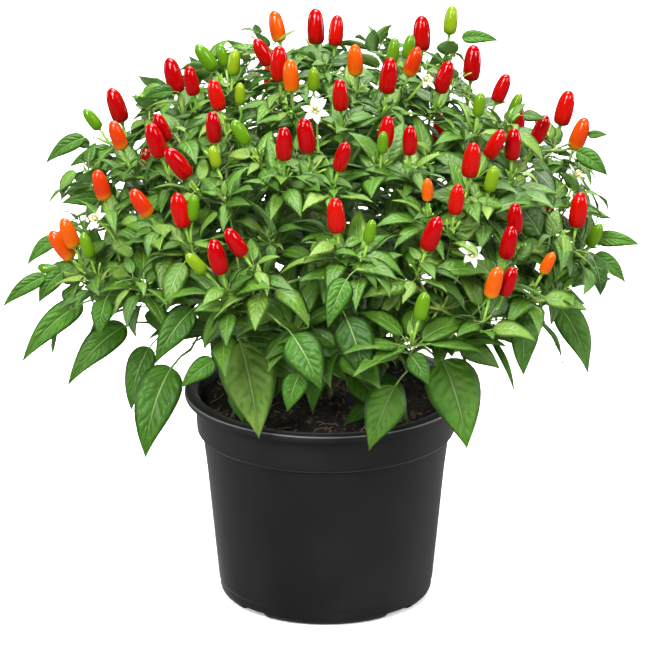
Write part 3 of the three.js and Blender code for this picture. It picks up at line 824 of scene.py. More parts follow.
def calyx_mesh():
    """The green cap under a fruit: five soft points round a thick collar."""
    outline = [
        (0, -3.2), (1.15, -3.0), (1.35, -1.6), (2.3, -0.75), (3.4, -0.30), (4.0, 0.55), (3.3, 0.75), (0, 0.5),
    ]
    corners, faces, spread = lathe(in_mm_pairs(outline), 15)
    for corner in corners:
        if math.hypot(corner.x, corner.y) > 3.0 * MM:
            point = 1 + 0.10 * math.cos(5 * math.atan2(corner.y, corner.x))
            corner.x *= point
            corner.y *= point
    return smooth_mesh("calyx", corners, faces, spread)


def bud_mesh(name, bend, plump):
    """A flower bud or young fruit on its own thin stalk, one unit long, from the origin along +Z."""
    outline = [(0, 0), (0.04, 0.01), (0.03, 0.5), (0.045, 0.72), (plump, 0.80), (0.75 * plump, 0.91), (0, 1)]
    corners, faces, spread = lathe(outline, 6, bend=bend)
    return smooth_mesh(name, corners, faces, spread)


# across a petal: how far out each row is, and how wide
PETAL_ROWS = [(0.06, 0.35), (0.25, 0.85), (0.45, 1.0), (0.65, 0.84), (0.85, 0.45), (1.0, 0.03)]


def petal_corners(angle, length, width, rise):
    """One pointed petal, closed and cupped, from the middle of the flower outwards."""
    corners, faces, spread = [], [], []
    for skin in (0.0, -0.35 * MM):
        for share, wide in PETAL_ROWS:
            for v in (-1, -0.5, 0, 0.5, 1):
                up = rise * math.sin(share * 2.2) - 0.25 * width * wide * (1 - v * v) + skin * (1 - v * v)
                flat = Vector((share * length, v * wide * width / 2, up))
                corners.append(Quaternion(UP, angle) @ flat)
                spread.append(((v + 1) / 2, share))
    rows = len(PETAL_ROWS)
    count = rows * 5
    for skin in (0, 1):
        for r in range(rows - 1):
            for c in range(4):
                a = skin * count + r * 5 + c
                face = (a, a + 5, a + 6, a + 1)
                faces.append(face[::-1] if skin == 0 else face)
    rim = [r * 5 for r in range(rows)] + [count - 5 + c for c in range(1, 5)]
    rim += [r * 5 + 4 for r in range(rows - 2, -1, -1)] + [3, 2, 1]
    faces += [(a, b, b + count, a + count) for a, b in zip(rim, rim[1:] + rim[:1])]
    return corners, faces, spread


def petals_mesh(name, count, seed):
    luck = Random(seed)
    parts = []
    for straight in angles(count):
        angle = straight + luck.uniform(-0.08, 0.08)
        length, width, rise = [luck.uniform(*ends) * MM for ends in ((8.8, 10.0), (4.6, 5.4), (0.5, 2.4))]
        parts.append(petal_corners(angle, length, width, rise))
    return joined_parts(name, parts)


def flower_heart_mesh(name):
    """The middle of a flower: a ring of five anthers leaning in round a short style."""
    rod = in_mm_pairs([(0, 0), (0.45, 0.05), (0.42, 1.6), (0.85, 2.1), (0.95, 3.6), (0.5, 4.3), (0, 4.5)])
    style = in_mm_pairs([(0, 0), (0.35, 0.05), (0.3, 4.6), (0.55, 5.2), (0, 5.5)])
    parts = []
    for angle in angles(5, 0.5):
        corners, faces, spread = lathe(rod, 8)
        lean = Quaternion((-math.sin(angle), math.cos(angle), 0), 0.30)
        foot = level(angle) * 1.1 * MM
        parts.append(([lean @ corner + foot for corner in corners], faces, spread))
    parts.append(lathe(style, 8))
    return joined_parts(name, parts)


def chip_meshes():
    """Four rough flakes of bark, about one unit across."""
    chips = []
    for kind in range(4):
        luck = Random(40 + kind)
        corners = []
        wide, thick = luck.uniform(0.3, 0.6), luck.uniform(0.12, 0.25)
        for z in (-1, 1):
            for angle in angles(6):
                reach = luck.uniform(0.7, 1.0)
                corners.append(Vector((
                    0.5 * reach * math.cos(angle), 0.5 * wide * reach * math.sin(angle),
                    0.5 * thick * z * luck.uniform(0.5, 1.2),
                )))
        faces = [tuple(range(5, -1, -1)), tuple(range(6, 12)), *band(range(6), range(6, 12))]
        mesh = smooth_mesh(f"chip_{kind}", corners, faces)
        mesh.shade_flat()
        chips.append(mesh)
    return chips


# ---- How the plant grows: woody stems, then twigs to every tip ----

SIDE_BRANCHES = 8


def chance(seed):
    """A number from 0 to 1 that is always the same for a seed."""
    wave = math.sin(seed * 127.1 + 311.7) * 43758.5453
    return wave - math.floor(wave)


def between(low, high, seed):
    return low + (high - low) * chance(seed)


def smooth_line(points, steps=6):
    """A smooth run of spots through the points."""
    ends = [2 * points[0] - points[1], *points, 2 * points[-1] - points[-2]]
    line = [points[0].copy()]
    for a, b, c, d in zip(ends, ends[1:], ends[2:], ends[3:]):
        for step in range(1, steps + 1):
            t = step / steps
            square, cube = 2 * a - 5 * b + 4 * c - d, 3 * b - a - 3 * c + d
            line.append(0.5 * (2 * b + (c - a) * t + square * t**2 + cube * t**3))
    return line


def side_branch(index):
    """The spots that a side branch and its low shoot run through, and the high shoot's tip."""
    angle = (index + 0.5) * TURN / SIDE_BRANCHES + between(-0.12, 0.12, index)
    foot_z = 142 + 4 * ((index * 3) % SIDE_BRANCHES)
    reach, rise = between(84, 96, index + 20), between(74, 92, index + 40)

    def spot(out, up):
        return (level(angle) * out * reach + UP * (foot_z + up * rise)) * MM

    points = [spot(0.01, 0), spot(0.3, 0.32), spot(0.65, 0.62), spot(1, 1)]
    low = [spot(1 + share * 62 / reach, 1) for share in (0, 0.5, 1)]
    low[2].z += between(-8, 14, index + 60) * MM
    high_end = level(angle + 0.35) * between(96, 116, index + 80) * MM
    high_end.z = between(292, 312, index + 100) * MM
    return points, low, high_end


def leader():
    """The same three for the branch that goes on upwards from the stem."""
    points = in_mm((0.5, 1, 170), (-3, 0, 215), (-6, -2, 250), (-10, 0, 284))
    return points, [points[-1], *in_mm((-16, 2, 314), (-30, 4, 346))], in_mm((38, 6, 336))[0]


def branch_lines():
    """Each branch's line, and the line of each shoot with the branch that carries it."""
    branches, shoots = [], []
    for points, low, high_end in [side_branch(i) for i in range(SIDE_BRANCHES)] + [leader()]:
        line = smooth_line(points)
        foot = line[round(0.62 * (len(line) - 1))]
        middle = foot.lerp(high_end, 0.45) + UP * 12 * MM
        branches.append(line)
        for twig in (low, [foot, middle, high_end]):
            shoots.append((smooth_line(twig), line))
    return branches, shoots


def low_branches():
    """Thin branches that run out from the stem along the underside of the canopy."""
    luck = Random(31)
    lines = []
    for step in range(7):
        angle = math.pi * step / 6 + luck.uniform(-0.1, 0.1)
        points = [UP * luck.uniform(146, 154)]
        for reach in (20, 55, 95, 130, 155):
            side = level(angle + luck.uniform(-0.08, 0.08))
            points.append(side * reach + UP * (151 + 0.43 * reach + luck.uniform(-3, 3)))
        lines.append(smooth_line([point * MM for point in points]))
    return lines


BRANCHES, SHOOTS = branch_lines()
LOW_BRANCHES = low_branches()
LOW_STARTS = [place for line in LOW_BRANCHES for place in line[8:]]  # where a twig can leave them


def fruit_stance(name):
    """Where a fruit of the frame has its foot, and which way it points."""
    mesh = frame["nodes"][name].data
    spots = np.empty(3 * len(mesh.vertices))
    mesh.vertices.foreach_get("co", spots)
    spots = spots.reshape(-1, 3)
    middle = spots.mean(axis=0)
    axis = Vector(np.linalg.svd(spots - middle)[2][0])
    axis = axis if axis.z > 0 else -axis
    along = (spots - middle) @ np.array(axis)
    return Vector(middle) + axis * float(along.min()), axis


def lean_axis(degrees, spot):
    lean = math.radians(degrees)
    return (Vector((math.sin(lean), 0, math.cos(lean))) + 0.15 * outwards(spot)).normalized()


def sized_fruit(name, foot, axis, ripe, scale):
    """What is known of one fruit: its name in the frame or None, foot, axis, ripeness, length, radius."""
    return name, foot, axis, ripe, FRUIT_LENGTH * scale, FRUIT_R * scale


def all_fruit():
    """Every fruit: those of the frame, those of the list above, and those out of sight."""
    ripeness = {part["node"]: part["material_slot"] for part in frame["record"]["subparts"]}
    fruit = []
    for index in range(FRAME_FRUIT):
        name = f"fruit_{index + 1:02d}"
        foot, axis = fruit_stance(name)
        ripe = ripeness[name].removeprefix("fruit_")
        scale = FRUIT_SIZE[ripe]
        foot += axis * (1 - scale) * FRUIT_LENGTH / 2
        fruit.append(sized_fruit(name, foot, axis, ripe, scale))
    luck = Random(7)
    for x, up, lean, ripe in MORE_FRUIT:
        spot = on_dome(x, up)
        axis = lean_axis(lean, spot)
        scale = luck.uniform(*MORE_FRUIT_SIZE[ripe])
        ripe = ripe.replace("turning", "orange")
        fruit.append(sized_fruit(None, spot - axis * FRUIT_DROP * MM, axis, ripe, scale))
    return fruit + hidden_fruit(luck)


def hidden_fruit(luck):
    """Fruit on the sides and back of the dome, spread as evenly as on its front."""
    found, kept = [], []
    for step in range(150):
        angle = step * GOLDEN_ANGLE
        z = WAIST_Z + (130 * luck.random() + 8) * MM
        spot = round_dome(angle, z)
        back = math.cos(angle - math.pi / 2)
        rise = spot.z + VIEW_TILT * spot.y + FRUIT_DROP * MM - WAIST_Z
        in_sight = (spot.x / DOME_R) ** 2 + (rise / SEEN_UP) ** 2 > 0.88
        if spot.y < 20 * MM or back < 0.1 or in_sight or len(found) >= HIDDEN_FRUIT:
            continue
        if not is_apart(spot, kept, 30):
            continue
        kept.append(spot)
        draw = luck.random()
        ripe = "red" if draw < 0.66 else "orange" if draw < 0.80 else "green"
        scale = luck.uniform(0.80, 0.95) if ripe == "green" else luck.uniform(0.92, 1.03)
        axis = lean_axis(luck.uniform(-14, 14), spot)
        found.append(sized_fruit(None, spot - axis * FRUIT_DROP * MM, axis, ripe, scale))
    return found


def is_apart(spot, others, gap):
    """Whether a spot is more than a gap, in mm, from all the others."""
    return all((spot - other).length > gap * MM for other in others)


def outward_axis(spot, lift=0.75):
    return (UP * lift + outwards(spot) * 0.6).normalized()


# Tips between the fruit, in shells of the dome: how many are tried, the shell's size, the gap in mm,
# and the lowest and highest in mm.
TIP_SHELLS = ((330, 0.92, 30, 168, 372), (240, 0.72, 30, 165, 345), (160, 0.48, 32, 175, 315))


def all_tips(fruit):
    """The tips of the twigs and their axes: first where fruit stand, then between them, and last
    at the top of the dome."""
    tips, axes = [], []
    for _, foot, axis, *_ in fruit:
        spot = foot - axis * STALK_LENGTH
        if is_apart(spot, tips, 15):
            tips.append(spot)
            axes.append((axis + 0.5 * outward_axis(spot)).normalized())
    for count, size, gap, foot_z, top_z in TIP_SHELLS:
        for step in range(count):
            share = (step + 0.5) / count
            z = (foot_z + (top_z - foot_z) * share) * MM
            half = dome_half(z) * size
            if abs(z - WAIST_Z) > 0.97 * half:
                continue
            radius = DOME_R * size * math.sqrt(1 - ((z - WAIST_Z) / half) ** 2)
            spot = level(step * GOLDEN_ANGLE + size) * radius + UP * z
            thinned = radius > 115 * MM and chance(step + 999 * size) < 0.3
            if z >= lowest_leaf(radius) + 8 * MM and not thinned and is_apart(spot, tips, gap):
                tips.append(spot)
                axes.append(outward_axis(spot))
    for step in range(30):
        spot = level(step * GOLDEN_ANGLE) * 13 * MM * math.sqrt(step)
        spot.z = WAIST_Z + DOME_UP * 0.85 * math.sqrt(1 - (spot.length / DOME_R) ** 2)
        if is_apart(spot, tips, 27):
            tips.append(spot)
            axes.append(outward_axis(spot, 1.5))
    return list(zip(tips, axes))


def nearest_shoot(spot):
    """The shoot nearest to a spot, and where on it, its branch or a low branch a twig to the spot
    starts."""

    def cost(place):
        far = (spot - place).length
        return far + 1.5 * max(0.0, place.z - spot.z + 0.3 * far)

    starts = [min(line[1:] + branch[len(branch) // 2 :], key=cost) for line, branch in SHOOTS]
    index = min(range(len(SHOOTS)), key=lambda i: cost(starts[i]))
    low = min(LOW_STARTS, key=cost)
    return index, low if cost(low) < cost(starts[index]) else starts[index]


def twig_line(start, end, axis, luck, thick=1.0, curl=0.12):
    """A twig that leaves its shoot and turns to come up to its tip along the axis."""
    far = (end - start).length
    wander = Vector([luck.uniform(-1, 1) for _ in range(3)]) * 0.05 * far
    bend = start.lerp(end, 0.5) - axis * curl * far - UP * 0.05 * far + wander
    points, radii = [], []
    for step in range(TWIG_STEPS + 1):
        t = step / TWIG_STEPS
        points.append(start * (1 - t) ** 2 + bend * 2 * t * (1 - t) + end * t * t)
        knee = 1.35 if step == TWIG_STEPS else 1.0
        radii.append((1.1 - 0.5 * t) * MM * knee * thick)
    return points, radii


def turn_to(ahead, upward):
    """The turn that takes +Y to ahead and +Z as near as it can to upward."""
    ahead = ahead.normalized()
    across = ahead.cross(upward)
    if across.length < 1e-4:
        across = ahead.orthogonal()
    across.normalize()
    up = across.cross(ahead)
    return Matrix((across, ahead, up)).transposed().to_quaternion()


def lowest_leaf(reach):
    """The canopy's underside: an open bowl that rises outwards from the stem."""
    return BOWL_Z + BOWL_RISE * reach


def in_canopy(spots, base):
    """Whether a leaf keeps inside the dome, above the bowl under it or only a little below its tip."""
    for spot in spots:
        reach = math.hypot(spot.x, spot.y)
        half = DOME_UP if spot.z > WAIST_Z else DOME_DOWN * 1.4
        if (reach / DOME_R) ** 2 + ((spot.z - WAIST_Z) / half) ** 2 > 1.06**2:
            return False
        if spot.z < min(lowest_leaf(reach), base.z - UNDER_DOME):
            return False
    return True


def from_line(spot, low, high):
    """How far a spot is from the line between two others."""
    share = (spot - low).dot(high - low) / (high - low).length_squared
    return (spot - low.lerp(high, held(share))).length


def hits_fruit(spots, fruit_lines):
    """Whether a leaf would touch a fruit, or stand in front of one whose side that faces out
    stays clear."""
    for foot, tip, out, clear in fruit_lines:
        for spot in spots:
            if from_line(spot, foot, tip) < FRUIT_CLEARANCE:
                return True
            ahead = (spot - foot).dot(out)
            if clear and 0 < ahead < VIEW_CLEARANCE:
                if from_line(spot - out * ahead, foot, tip - out * (tip - foot).dot(out)) < VIEW_GAP:
                    return True
    return False


def fruit_lines_of(fruit):
    """Each fruit's foot, tip, the way that it is seen from, and whether it stays clear of leaves."""
    lines = []
    for index, (name, foot, axis, _, length, _) in enumerate(fruit):
        out = FRONT if foot.y < 60 * MM else (outwards(foot) * 0.94 + UP * 0.34)
        top = foot.z + VIEW_TILT * foot.y > 345 * MM
        lines.append((foot, foot + axis * length, out, bool(name) or top or index % 3 > 0))
    return lines


def leaf_spots(kind):
    """Spots down the middle and at the sides of a kind of leaf."""
    width, droop, _, twist, side, _ = kind
    frames = leaf_centre(droop, twist, side)
    spots = []
    for along in (0.05, 0.35, 0.7, 1.0):
        spot, _, across, _ = frame_at(frames, LEAF_STALK + along)
        spots.append(spot)
        if along in (0.35, 0.7):
            half = across * width * blade_width(along)
            spots += [spot + half, spot - half]
    return spots


LEAF_SPOTS = [leaf_spots(kind) for kind in LEAF_KINDS]


def whorl(spot, axis, luck, count, length, tone, lines, spreading, hang):
    """Leaves round a tip, each a golden angle on from the last, where they fit. They spread by so
    many degrees from the axis, and hang by a share of their length."""
    leaves = []
    near = [line for line in lines if (line[0] - spot).length < FRUIT_NEAR]
    start = luck.uniform(0, TURN)
    side = axis.orthogonal().normalized()
    for step in range(count):
        for _ in range(LEAF_TRIES):
            swing = math.radians(luck.gauss(spreading, 16))
            around = Quaternion(axis, start + step * GOLDEN_ANGLE + luck.uniform(-0.4, 0.4)) @ side
            ahead = axis * math.cos(swing) + around * math.sin(swing) - UP * hang * luck.uniform(0.2, 1.8)
            ahead.normalize()
            upward = (axis * (0.4 + 1.8 * hang) + UP * (1.4 - 2 * hang) + 0.15 * outwards(spot)).normalized()
            size = length * luck.triangular(0.55, 1.2, 0.85)
            foot = spot - axis * luck.uniform(-1, 9) * MM
            kind = luck.randrange(len(LEAF_KINDS))
            turn = Quaternion(ahead, luck.gauss(0, 0.35)) @ turn_to(ahead, upward)
            places = [foot + turn @ (place * size) for place in LEAF_SPOTS[kind]]
            if in_canopy(places, spot) and not hits_fruit(places, near):
                leaves.append((foot, turn, size, kind, held(luck.gauss(tone, LEAF_JITTER))))
                break
    return leaves


def leaf_between(foot, tip, shape_foot, shape_tip, upward):
    """Where a leaf shape goes for its blade to run from foot to tip: its origin, turn and size."""
    chord, wanted = shape_tip - shape_foot, tip - foot
    size = wanted.length / chord.length
    turn = turn_to(wanted, upward) @ turn_to(chord, UP).inverted()
    return foot - turn @ (shape_foot * size), turn, size


# ---- The pieces ----


def part(piece, slot, *nodes):
    """Hands a finished piece over: it belongs to the plant, and stands for these nodes."""
    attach(piece, "root")
    if nodes:
        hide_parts(*nodes)
    return piece


def with_finish(piece, finish):
    piece.data.materials.clear()
    piece.data.materials.append(finish)
    return piece


def solid(mesh, finish, slot, *nodes):
    """Hands over a mesh as it is, with its finish."""
    return part(with_finish(shown(mesh.name, mesh), finish), slot, *nodes)


# The pot's outline in mm, from the middle of its underside out and up its side, over its lip and
# down inside.
POT_OUTLINE = [
    (0, 3.6), (20, 3.6), (57.4, 3.6), (58, 3.0), (58, 0.5), (58.5, 0), (64.8, 0), (66.6, 0.6), (69.0, 2.2),
    (70.6, 3.9), (71.4, 6.0), (71.55, 9.9), (71.7, 10.6), (72.2, 11.3), (72.35, 12.4), (76.0, 50), (79.9, 90),
    (82.9, 113.8), (83.3, 115.3), (84.4, 116.1), (85.9, 116.5), (86.5, 117.3), (86.75, 118.6), (87.2, 128),
    (87.8, 140.2), (88.3, 141.6), (89.4, 142.4), (92.6, 142.4), (93.2, 141.8), (93.4, 140.7), (93.9, 140.3),
    (94.5, 140.5), (94.9, 141.6), (95.0, 143.4), (94.6, 144.5), (93.7, 145.0), (87.4, 145.0), (86.3, 144.6),
    (85.8, 143.6), (85.5, 140.0), (84.5, 118.0), (81.1, 115.0), (70.3, 12.0), (68.6, 8.0), (66.0, 6.2),
    (0, 6.0),
]
# the sections of the cuts, in mm: across and up for a notch, radius and height for a hole
NOTCH = [(-12, -4), (12, -4), (12, 3.4), (11.6, 4.3), (10.8, 4.8), (-10.8, 4.8), (-11.6, 4.3), (-12, 3.4)]
DRAIN_HOLE = [(0, -5), (4.5, -5), (4.5, 12), (0, 12)]


def pot_cutters():
    """The four notches in the foot, with rounded corners, and the eight drain holes, as one mesh."""
    parts = []
    for i in range(4):
        turn = Quaternion(UP, (i + 0.5) * math.pi / 2)
        corners = [turn @ (Vector((x, y, z)) * MM) for x in (50, 80) for y, z in NOTCH]
        faces = [tuple(range(7, -1, -1)), tuple(range(8, 16)), *band(range(8), range(8, 16))]
        parts.append((corners, faces, [(0, 0)] * 16))
    for i in range(8):
        corners, faces, spread = lathe(in_mm_pairs(DRAIN_HOLE), 20)
        place = level(i * math.pi / 4) * 40 * MM
        parts.append(([corner + place for corner in corners], faces, spread))
    return joined_parts("pot_cutters", parts)


def make_pot():
    pot = shown("pot_shell", smooth_mesh("pot_shell", *lathe(in_mm_pairs(POT_OUTLINE), 144)))
    cutter = shown("pot_cutter", pot_cutters())
    cut = pot.modifiers.new("cut", "BOOLEAN")
    cut.operation, cut.object, cut.solver = "DIFFERENCE", cutter, "EXACT"
    worked_out(pot)
    bpy.data.objects.remove(cutter)
    pot.data.set_sharp_from_angle(angle=math.radians(40))
    part(with_finish(pot, pot_finish()), "pot_plastic", "pot")


def soil_height(x, y):
    """The lie of the soil's surface: low mounds, heaped up a little round the stem."""
    bumps = math.sin(x / 9 + 1) * math.cos(y / 11) + 0.4 * math.sin((x + y) / 6)
    bumps += 0.35 * math.sin(x / 2.3 + 2 * math.sin(y / 4)) * math.cos(y / 2.9)
    return 135 + 1.4 * bumps + 3.0 * math.exp(-(x * x + y * y) / 300)


def soil_shape(rings=44, sides=96):
    """The corners and faces of the soil, and how many of the faces are its surface."""
    corners, faces = [UP * soil_height(0, 0) * MM], []
    for ring in range(1, rings + 1):
        radius = SOIL_R * ring / rings
        for angle in angles(sides):
            x, y = radius * math.cos(angle), radius * math.sin(angle)
            corners.append(Vector((x, y, soil_height(x, y))) * MM)
    starts = [1 + ring * sides for ring in range(rings)]
    for i in range(sides):
        j = (i + 1) % sides
        faces.append((0, 1 + i, 1 + j))
        faces += [(a + i, b + i, b + j, a + j) for a, b in zip(starts, starts[1:])]
    surface = len(faces)
    last = starts[-1]
    for radius, z in SOIL_SIDE:
        start = len(corners)
        corners += [(level(angle) * radius + UP * z) * MM for angle in angles(sides)]
        faces += band(range(last, last + sides), range(start, start + sides), flip=True)
        last = start
    faces.append(tuple(range(last + sides - 1, last - 1, -1)))
    return corners, faces, surface


def make_soil():
    corners, faces, surface = soil_shape()
    solid(smooth_mesh("soil_bed", corners, faces), plain_finish("potting_soil"), "potting_soil", "soil")
    ground = [face for face in faces[:surface] if max(math.hypot(*corners[c][:2]) for c in face) < 81 * MM]
    chips = collected("chip", chip_meshes())
    finish = plain_finish("bark_chip")
    # density, smallest and largest in mm, tilt and seed
    bits = {"bark_chips": (26000.0, 1.8, 8.5, 0.8, 3), "soil_crumbs": (42000.0, 0.6, 1.9, 1.2, 4)}
    for name, (density, least, most, tilt, seed) in bits.items():
        mesh = smooth_mesh(name + "_ground", corners, ground)
        sizes = {"Density": density, "Smallest": least * MM, "Largest": most * MM, "Tilt": tilt}
        part(made_by(name, mesh, SCATTER, Shapes=chips, Seed=seed, Finish=finish, **sizes), "potting_soil")
    part(stems("root_fibres", soil_fibres(), plain_finish("pale_root"), 5), "potting_soil")


def soil_fibres():
    """Loose fibres lying over the soil, and one longer pale root that arches out of it."""
    luck = Random(12)
    lines = []
    for _ in range(40):
        angle, radius = luck.uniform(0, TURN), 80 * math.sqrt(luck.random())
        heading, length = luck.uniform(0, TURN), luck.uniform(5, 17)
        x, y, points = radius * math.cos(angle), radius * math.sin(angle), []
        for step in range(6):
            if math.hypot(x, y) > 81:
                break
            up = soil_height(x, y) + 0.5 + 1.6 * math.sin(math.pi * step / 5) * luck.random()
            points.append(Vector((x, y, up)) * MM)
            heading += luck.uniform(-0.5, 0.5)
            x += length / 5 * math.cos(heading)
            y += length / 5 * math.sin(heading)
        if len(points) > 3:
            lines.append((points, [luck.uniform(0.12, 0.32) * MM] * len(points)))
    arch = in_mm((22, -64, 135), (26, -60, 140), (31, -54, 142), (35, -47, 138), (37, -42, 134))
    lines.append((smooth_line(arch, 4), [0.45 * MM] * 17))
    return lines


def knobbly(line, start, end, luck, knots):
    """Thicknesses down a limb that swell a little at its old leaf joints."""
    radii = []
    for step in range(len(line)):
        share = step / (len(line) - 1)
        swell = max(math.exp(-(((share - knot) / 0.035) ** 2)) for knot in knots)
        radii.append((start + (end - start) * share) * (1 + 0.22 * swell + luck.uniform(-0.03, 0.03)))
    return radii


def make_woody_stems():
    finish = plain_finish("young_bark")
    luck = Random(5)
    foot = smooth_line(in_mm((0, 0, 92), (0.3, 0, 108), (0.5, 0, 125), (-0.5, 1, 150), (1, 1, 176)), 10)
    radii = []
    for i, spot in enumerate(foot):
        taper = (0.4 + 0.6 * min(i / 20, 1)) * (1 - 0.2 * max(i - 20, 0) / 20)
        collar = 1 + 0.28 * math.exp(-((spot.z / MM - 131) / 7) ** 2)
        radii.append(TRUNK_R * taper * collar)
    part(stems("trunk", [(foot, radii)], finish, 16), "stem_bark", "main_stem")
    for index, line in enumerate(BRANCHES):
        dense = smooth_line(line[::3], 8)
        start = 0.7 * TRUNK_R if index == SIDE_BRANCHES else BRANCH_R
        radii = knobbly(dense, start, 0.7 * BRANCH_R, luck, (0.3, 0.52, 0.74, 0.93))
        number = f"{index + 1:02d}"
        part(stems("limb_" + number, [(dense, radii)], finish, 10), "stem_bark", "branch_" + number)
    lines = [(line, knobbly(line, 2.0 * MM, 0.8 * MM, luck, (0.35, 0.6, 0.85))) for line in LOW_BRANCHES]
    part(stems("side_branches", lines, finish, 8), "stem_bark")


def leaf_habit(spot):
    """How many leaves a tip has, how long and how light they are, and how far they hang: higher up
    the plant they are fewer, smaller, fresher and more level."""
    share = held((spot.z - 185 * MM) / (160 * MM))
    return 9 - round(share), (46 - 17 * share) * MM, 0.45 + 0.12 * share, 0.34 - 0.28 * share


def outline_leaves():
    """The foot, tip, width for its length, facing and change of tone (painted light where it is paler,
    painted shade where it is darker) of each leaf of the outline.
    """
    found = []
    for foot_x, foot_up, tip_x, tip_up, width, *pale in OUTLINE_LEAVES:
        tip = on_dome(tip_x, tip_up)
        inwards = 0.32 * math.hypot(tip_x - foot_x, tip_up - foot_up) * MM
        y = tip.y + inwards * held(-tip.y / (60 * MM))
        foot = Vector((foot_x * MM, y, foot_up * MM - VIEW_TILT * y))
        found.append((foot, tip, width * MM / (tip - foot).length, FRONT + outwards(tip) * 0.25, *pale))
    return found


def hanging_leaves():
    """The foot, tip, width for its length and facing of the large leaves under the canopy: inside
    over the soil, and round the sides and back as on the front."""
    luck = Random(17)
    found = []
    for ends in (((-60, -62, 166), (-55, -72, 146)), ((27, -50, 149), (12, -62, 141))):
        found.append((*in_mm(*ends), 0.6, FRONT))
    for step in range(13):
        angle = step * GOLDEN_ANGLE + 0.4
        reach = luck.uniform(26, 48)
        foot = level(angle) * reach + UP * luck.uniform(160, 182)
        out = level(angle + luck.uniform(-0.5, 0.5)) * luck.uniform(14, 34)
        tip = foot + out - UP * luck.uniform(22, 34)
        found.append((foot * MM, tip * MM, luck.uniform(0.42, 0.6), outwards(foot) * 0.9 + UP * 0.4))
    for step in range(20):
        angle = -0.2 + step * (math.pi + 0.4) / 19 + luck.uniform(-0.12, 0.12)
        reach = luck.uniform(70, 160)
        foot = level(angle) * reach + UP * (152 + 0.42 * reach)
        out = level(angle + luck.uniform(-1.3, 1.3)) * luck.uniform(10, 38)
        facing = outwards(foot) + level(angle + luck.uniform(-1.5, 1.5)) * 0.4 + UP * luck.uniform(0.1, 0.9)
        tip = foot + out - UP * luck.triangular(12, 60, 34)
        found.append((foot * MM, tip * MM, luck.uniform(0.4, 0.56), facing))
    return found


def grow_tip(spot, axis, luck, lines, leaves, buds):
    """Whorls of leaves round a tip, a tuft of young ones over them, and its buds."""
    count, length, tone, hang = leaf_habit(spot)
    across, up = math.hypot(spot.x, spot.y) / DOME_R, max(spot.z - WAIST_Z, 0) / DOME_UP
    # Painted shade: leaves deep inside the canopy are made darker.
    tone -= PAINTED_INNER_SHADE * (1 - min(across + up * 0.5, 1))
    leaves += whorl(spot, axis, luck, count, length, tone, lines, 65, hang)
    leaves += whorl(spot + axis * 4 * MM, axis, luck, 3, 0.33 * length, tone + 0.1, lines, 40, 0.0)
    if spot.z > 250 * MM:
        leaves += whorl(spot + axis * 11 * MM, axis, luck, 4, 0.62 * length, tone + 0.1, lines, 70, 0.05)
    for _ in range(luck.randrange(2, 7)):
        swing = Vector((luck.gauss(0, 0.4), luck.gauss(0, 0.4), 0))
        turn = UP.rotation_difference((axis + swing).normalized())
        buds.append((spot, turn, luck.uniform(7, 16) * MM, luck.randrange(3), luck.random()))


def large_leaf_shapes():
    """Each kind of large leaf, and its mirror image after it."""
    shapes = []
    for width, droop, fold, twist, side, wave in LARGE_LEAF_KINDS:
        for hand in (1, -1):
            name = f"large_leaf_{len(shapes):02d}"
            shapes.append(leaf_mesh(name, width, droop, fold, twist * hand, side * hand, wave, 18, 8, 0.008))
    return shapes


def grow_large_leaves(shapes, large, twigs):
    """Large leaves from their foot to their tip, each on a twig from the nearest stem."""
    luck = Random(21)
    for foot, tip, breadth, facing, *pale in outline_leaves() + hanging_leaves():
        near = [abs(width - breadth) for width, *_ in LARGE_LEAF_KINDS]
        kind = 2 * near.index(min(near)) + ((tip - foot).cross(facing).z > 0)
        ends = shapes[kind].vertices[0].co, shapes[kind].vertices[1].co
        spot, turn, size = leaf_between(foot, tip, *ends, facing)
        shoot, start = nearest_shoot(spot)
        start = min([start, *LOW_STARTS], key=lambda place: (place - spot).length)
        # Painted light and shade: some leaves of the outline are made paler, and some darker, than their
        # random tone.
        large[shoot].append((spot, turn, size, kind, held(luck.gauss(0.42, 0.1) + sum(pale))))
        twigs[shoot].append(twig_line(start, spot, turn @ Vector((0, 1, 0)), luck, 1.15, 0.25))


def make_foliage(fruit, green):
    """The leaves, buds and green twigs of every shoot. Gives the twigs' tips."""
    tips = all_tips(fruit)
    lines = fruit_lines_of(fruit)
    leaves, large, twigs, buds = [[[] for _ in SHOOTS] for _ in range(4)]
    for index, (line, _) in enumerate(SHOOTS):
        radii = [TWIG_R * (1 - 0.4 * i / (len(line) - 1)) for i in range(len(line))]
        twigs[index].append((line, radii))
    for index, (spot, axis) in enumerate(tips):
        luck = Random(1000 + index)
        shoot, start = nearest_shoot(spot)
        twigs[shoot].append(twig_line(start, spot, axis, luck))
        grow_tip(spot, axis, luck, lines, leaves[shoot], buds[shoot])
    shapes = large_leaf_shapes()
    grow_large_leaves(shapes, large, twigs)
    small = collected("leaf", [leaf_mesh(f"leaf_{i}", *kind) for i, kind in enumerate(LEAF_KINDS)])
    broad = collected("large_leaf", shapes)
    bud_shapes = collected("bud", [bud_mesh(f"bud_{i}", *kind) for i, kind in enumerate(BUD_KINDS)])
    leaf = leaf_finish("leaf", 0.45, 0.4, 0.6, colour(28, 61, 2), colour(71, 113, 22))
    broad_leaf = leaf_finish("broad_leaf", 0.35, 0.45, 1.2, colour(22, 58, 2), colour(65, 115, 18))
    twig = plain_finish("twig")
    for index in range(len(SHOOTS)):
        number = f"{index + 1:02d}"
        node = "leafy_shoot_" + number
        part(grown("leaves_" + number, leaves[index], small, leaf), "leaf", node)
        if large[index]:
            part(grown("large_leaves_" + number, large[index], broad, broad_leaf), "leaf", node)
        part(stems("twigs_" + number, twigs[index], twig), "leaf", node)
        part(grown("buds_" + number, buds[index], bud_shapes, green), "leaf", node)
    return tips


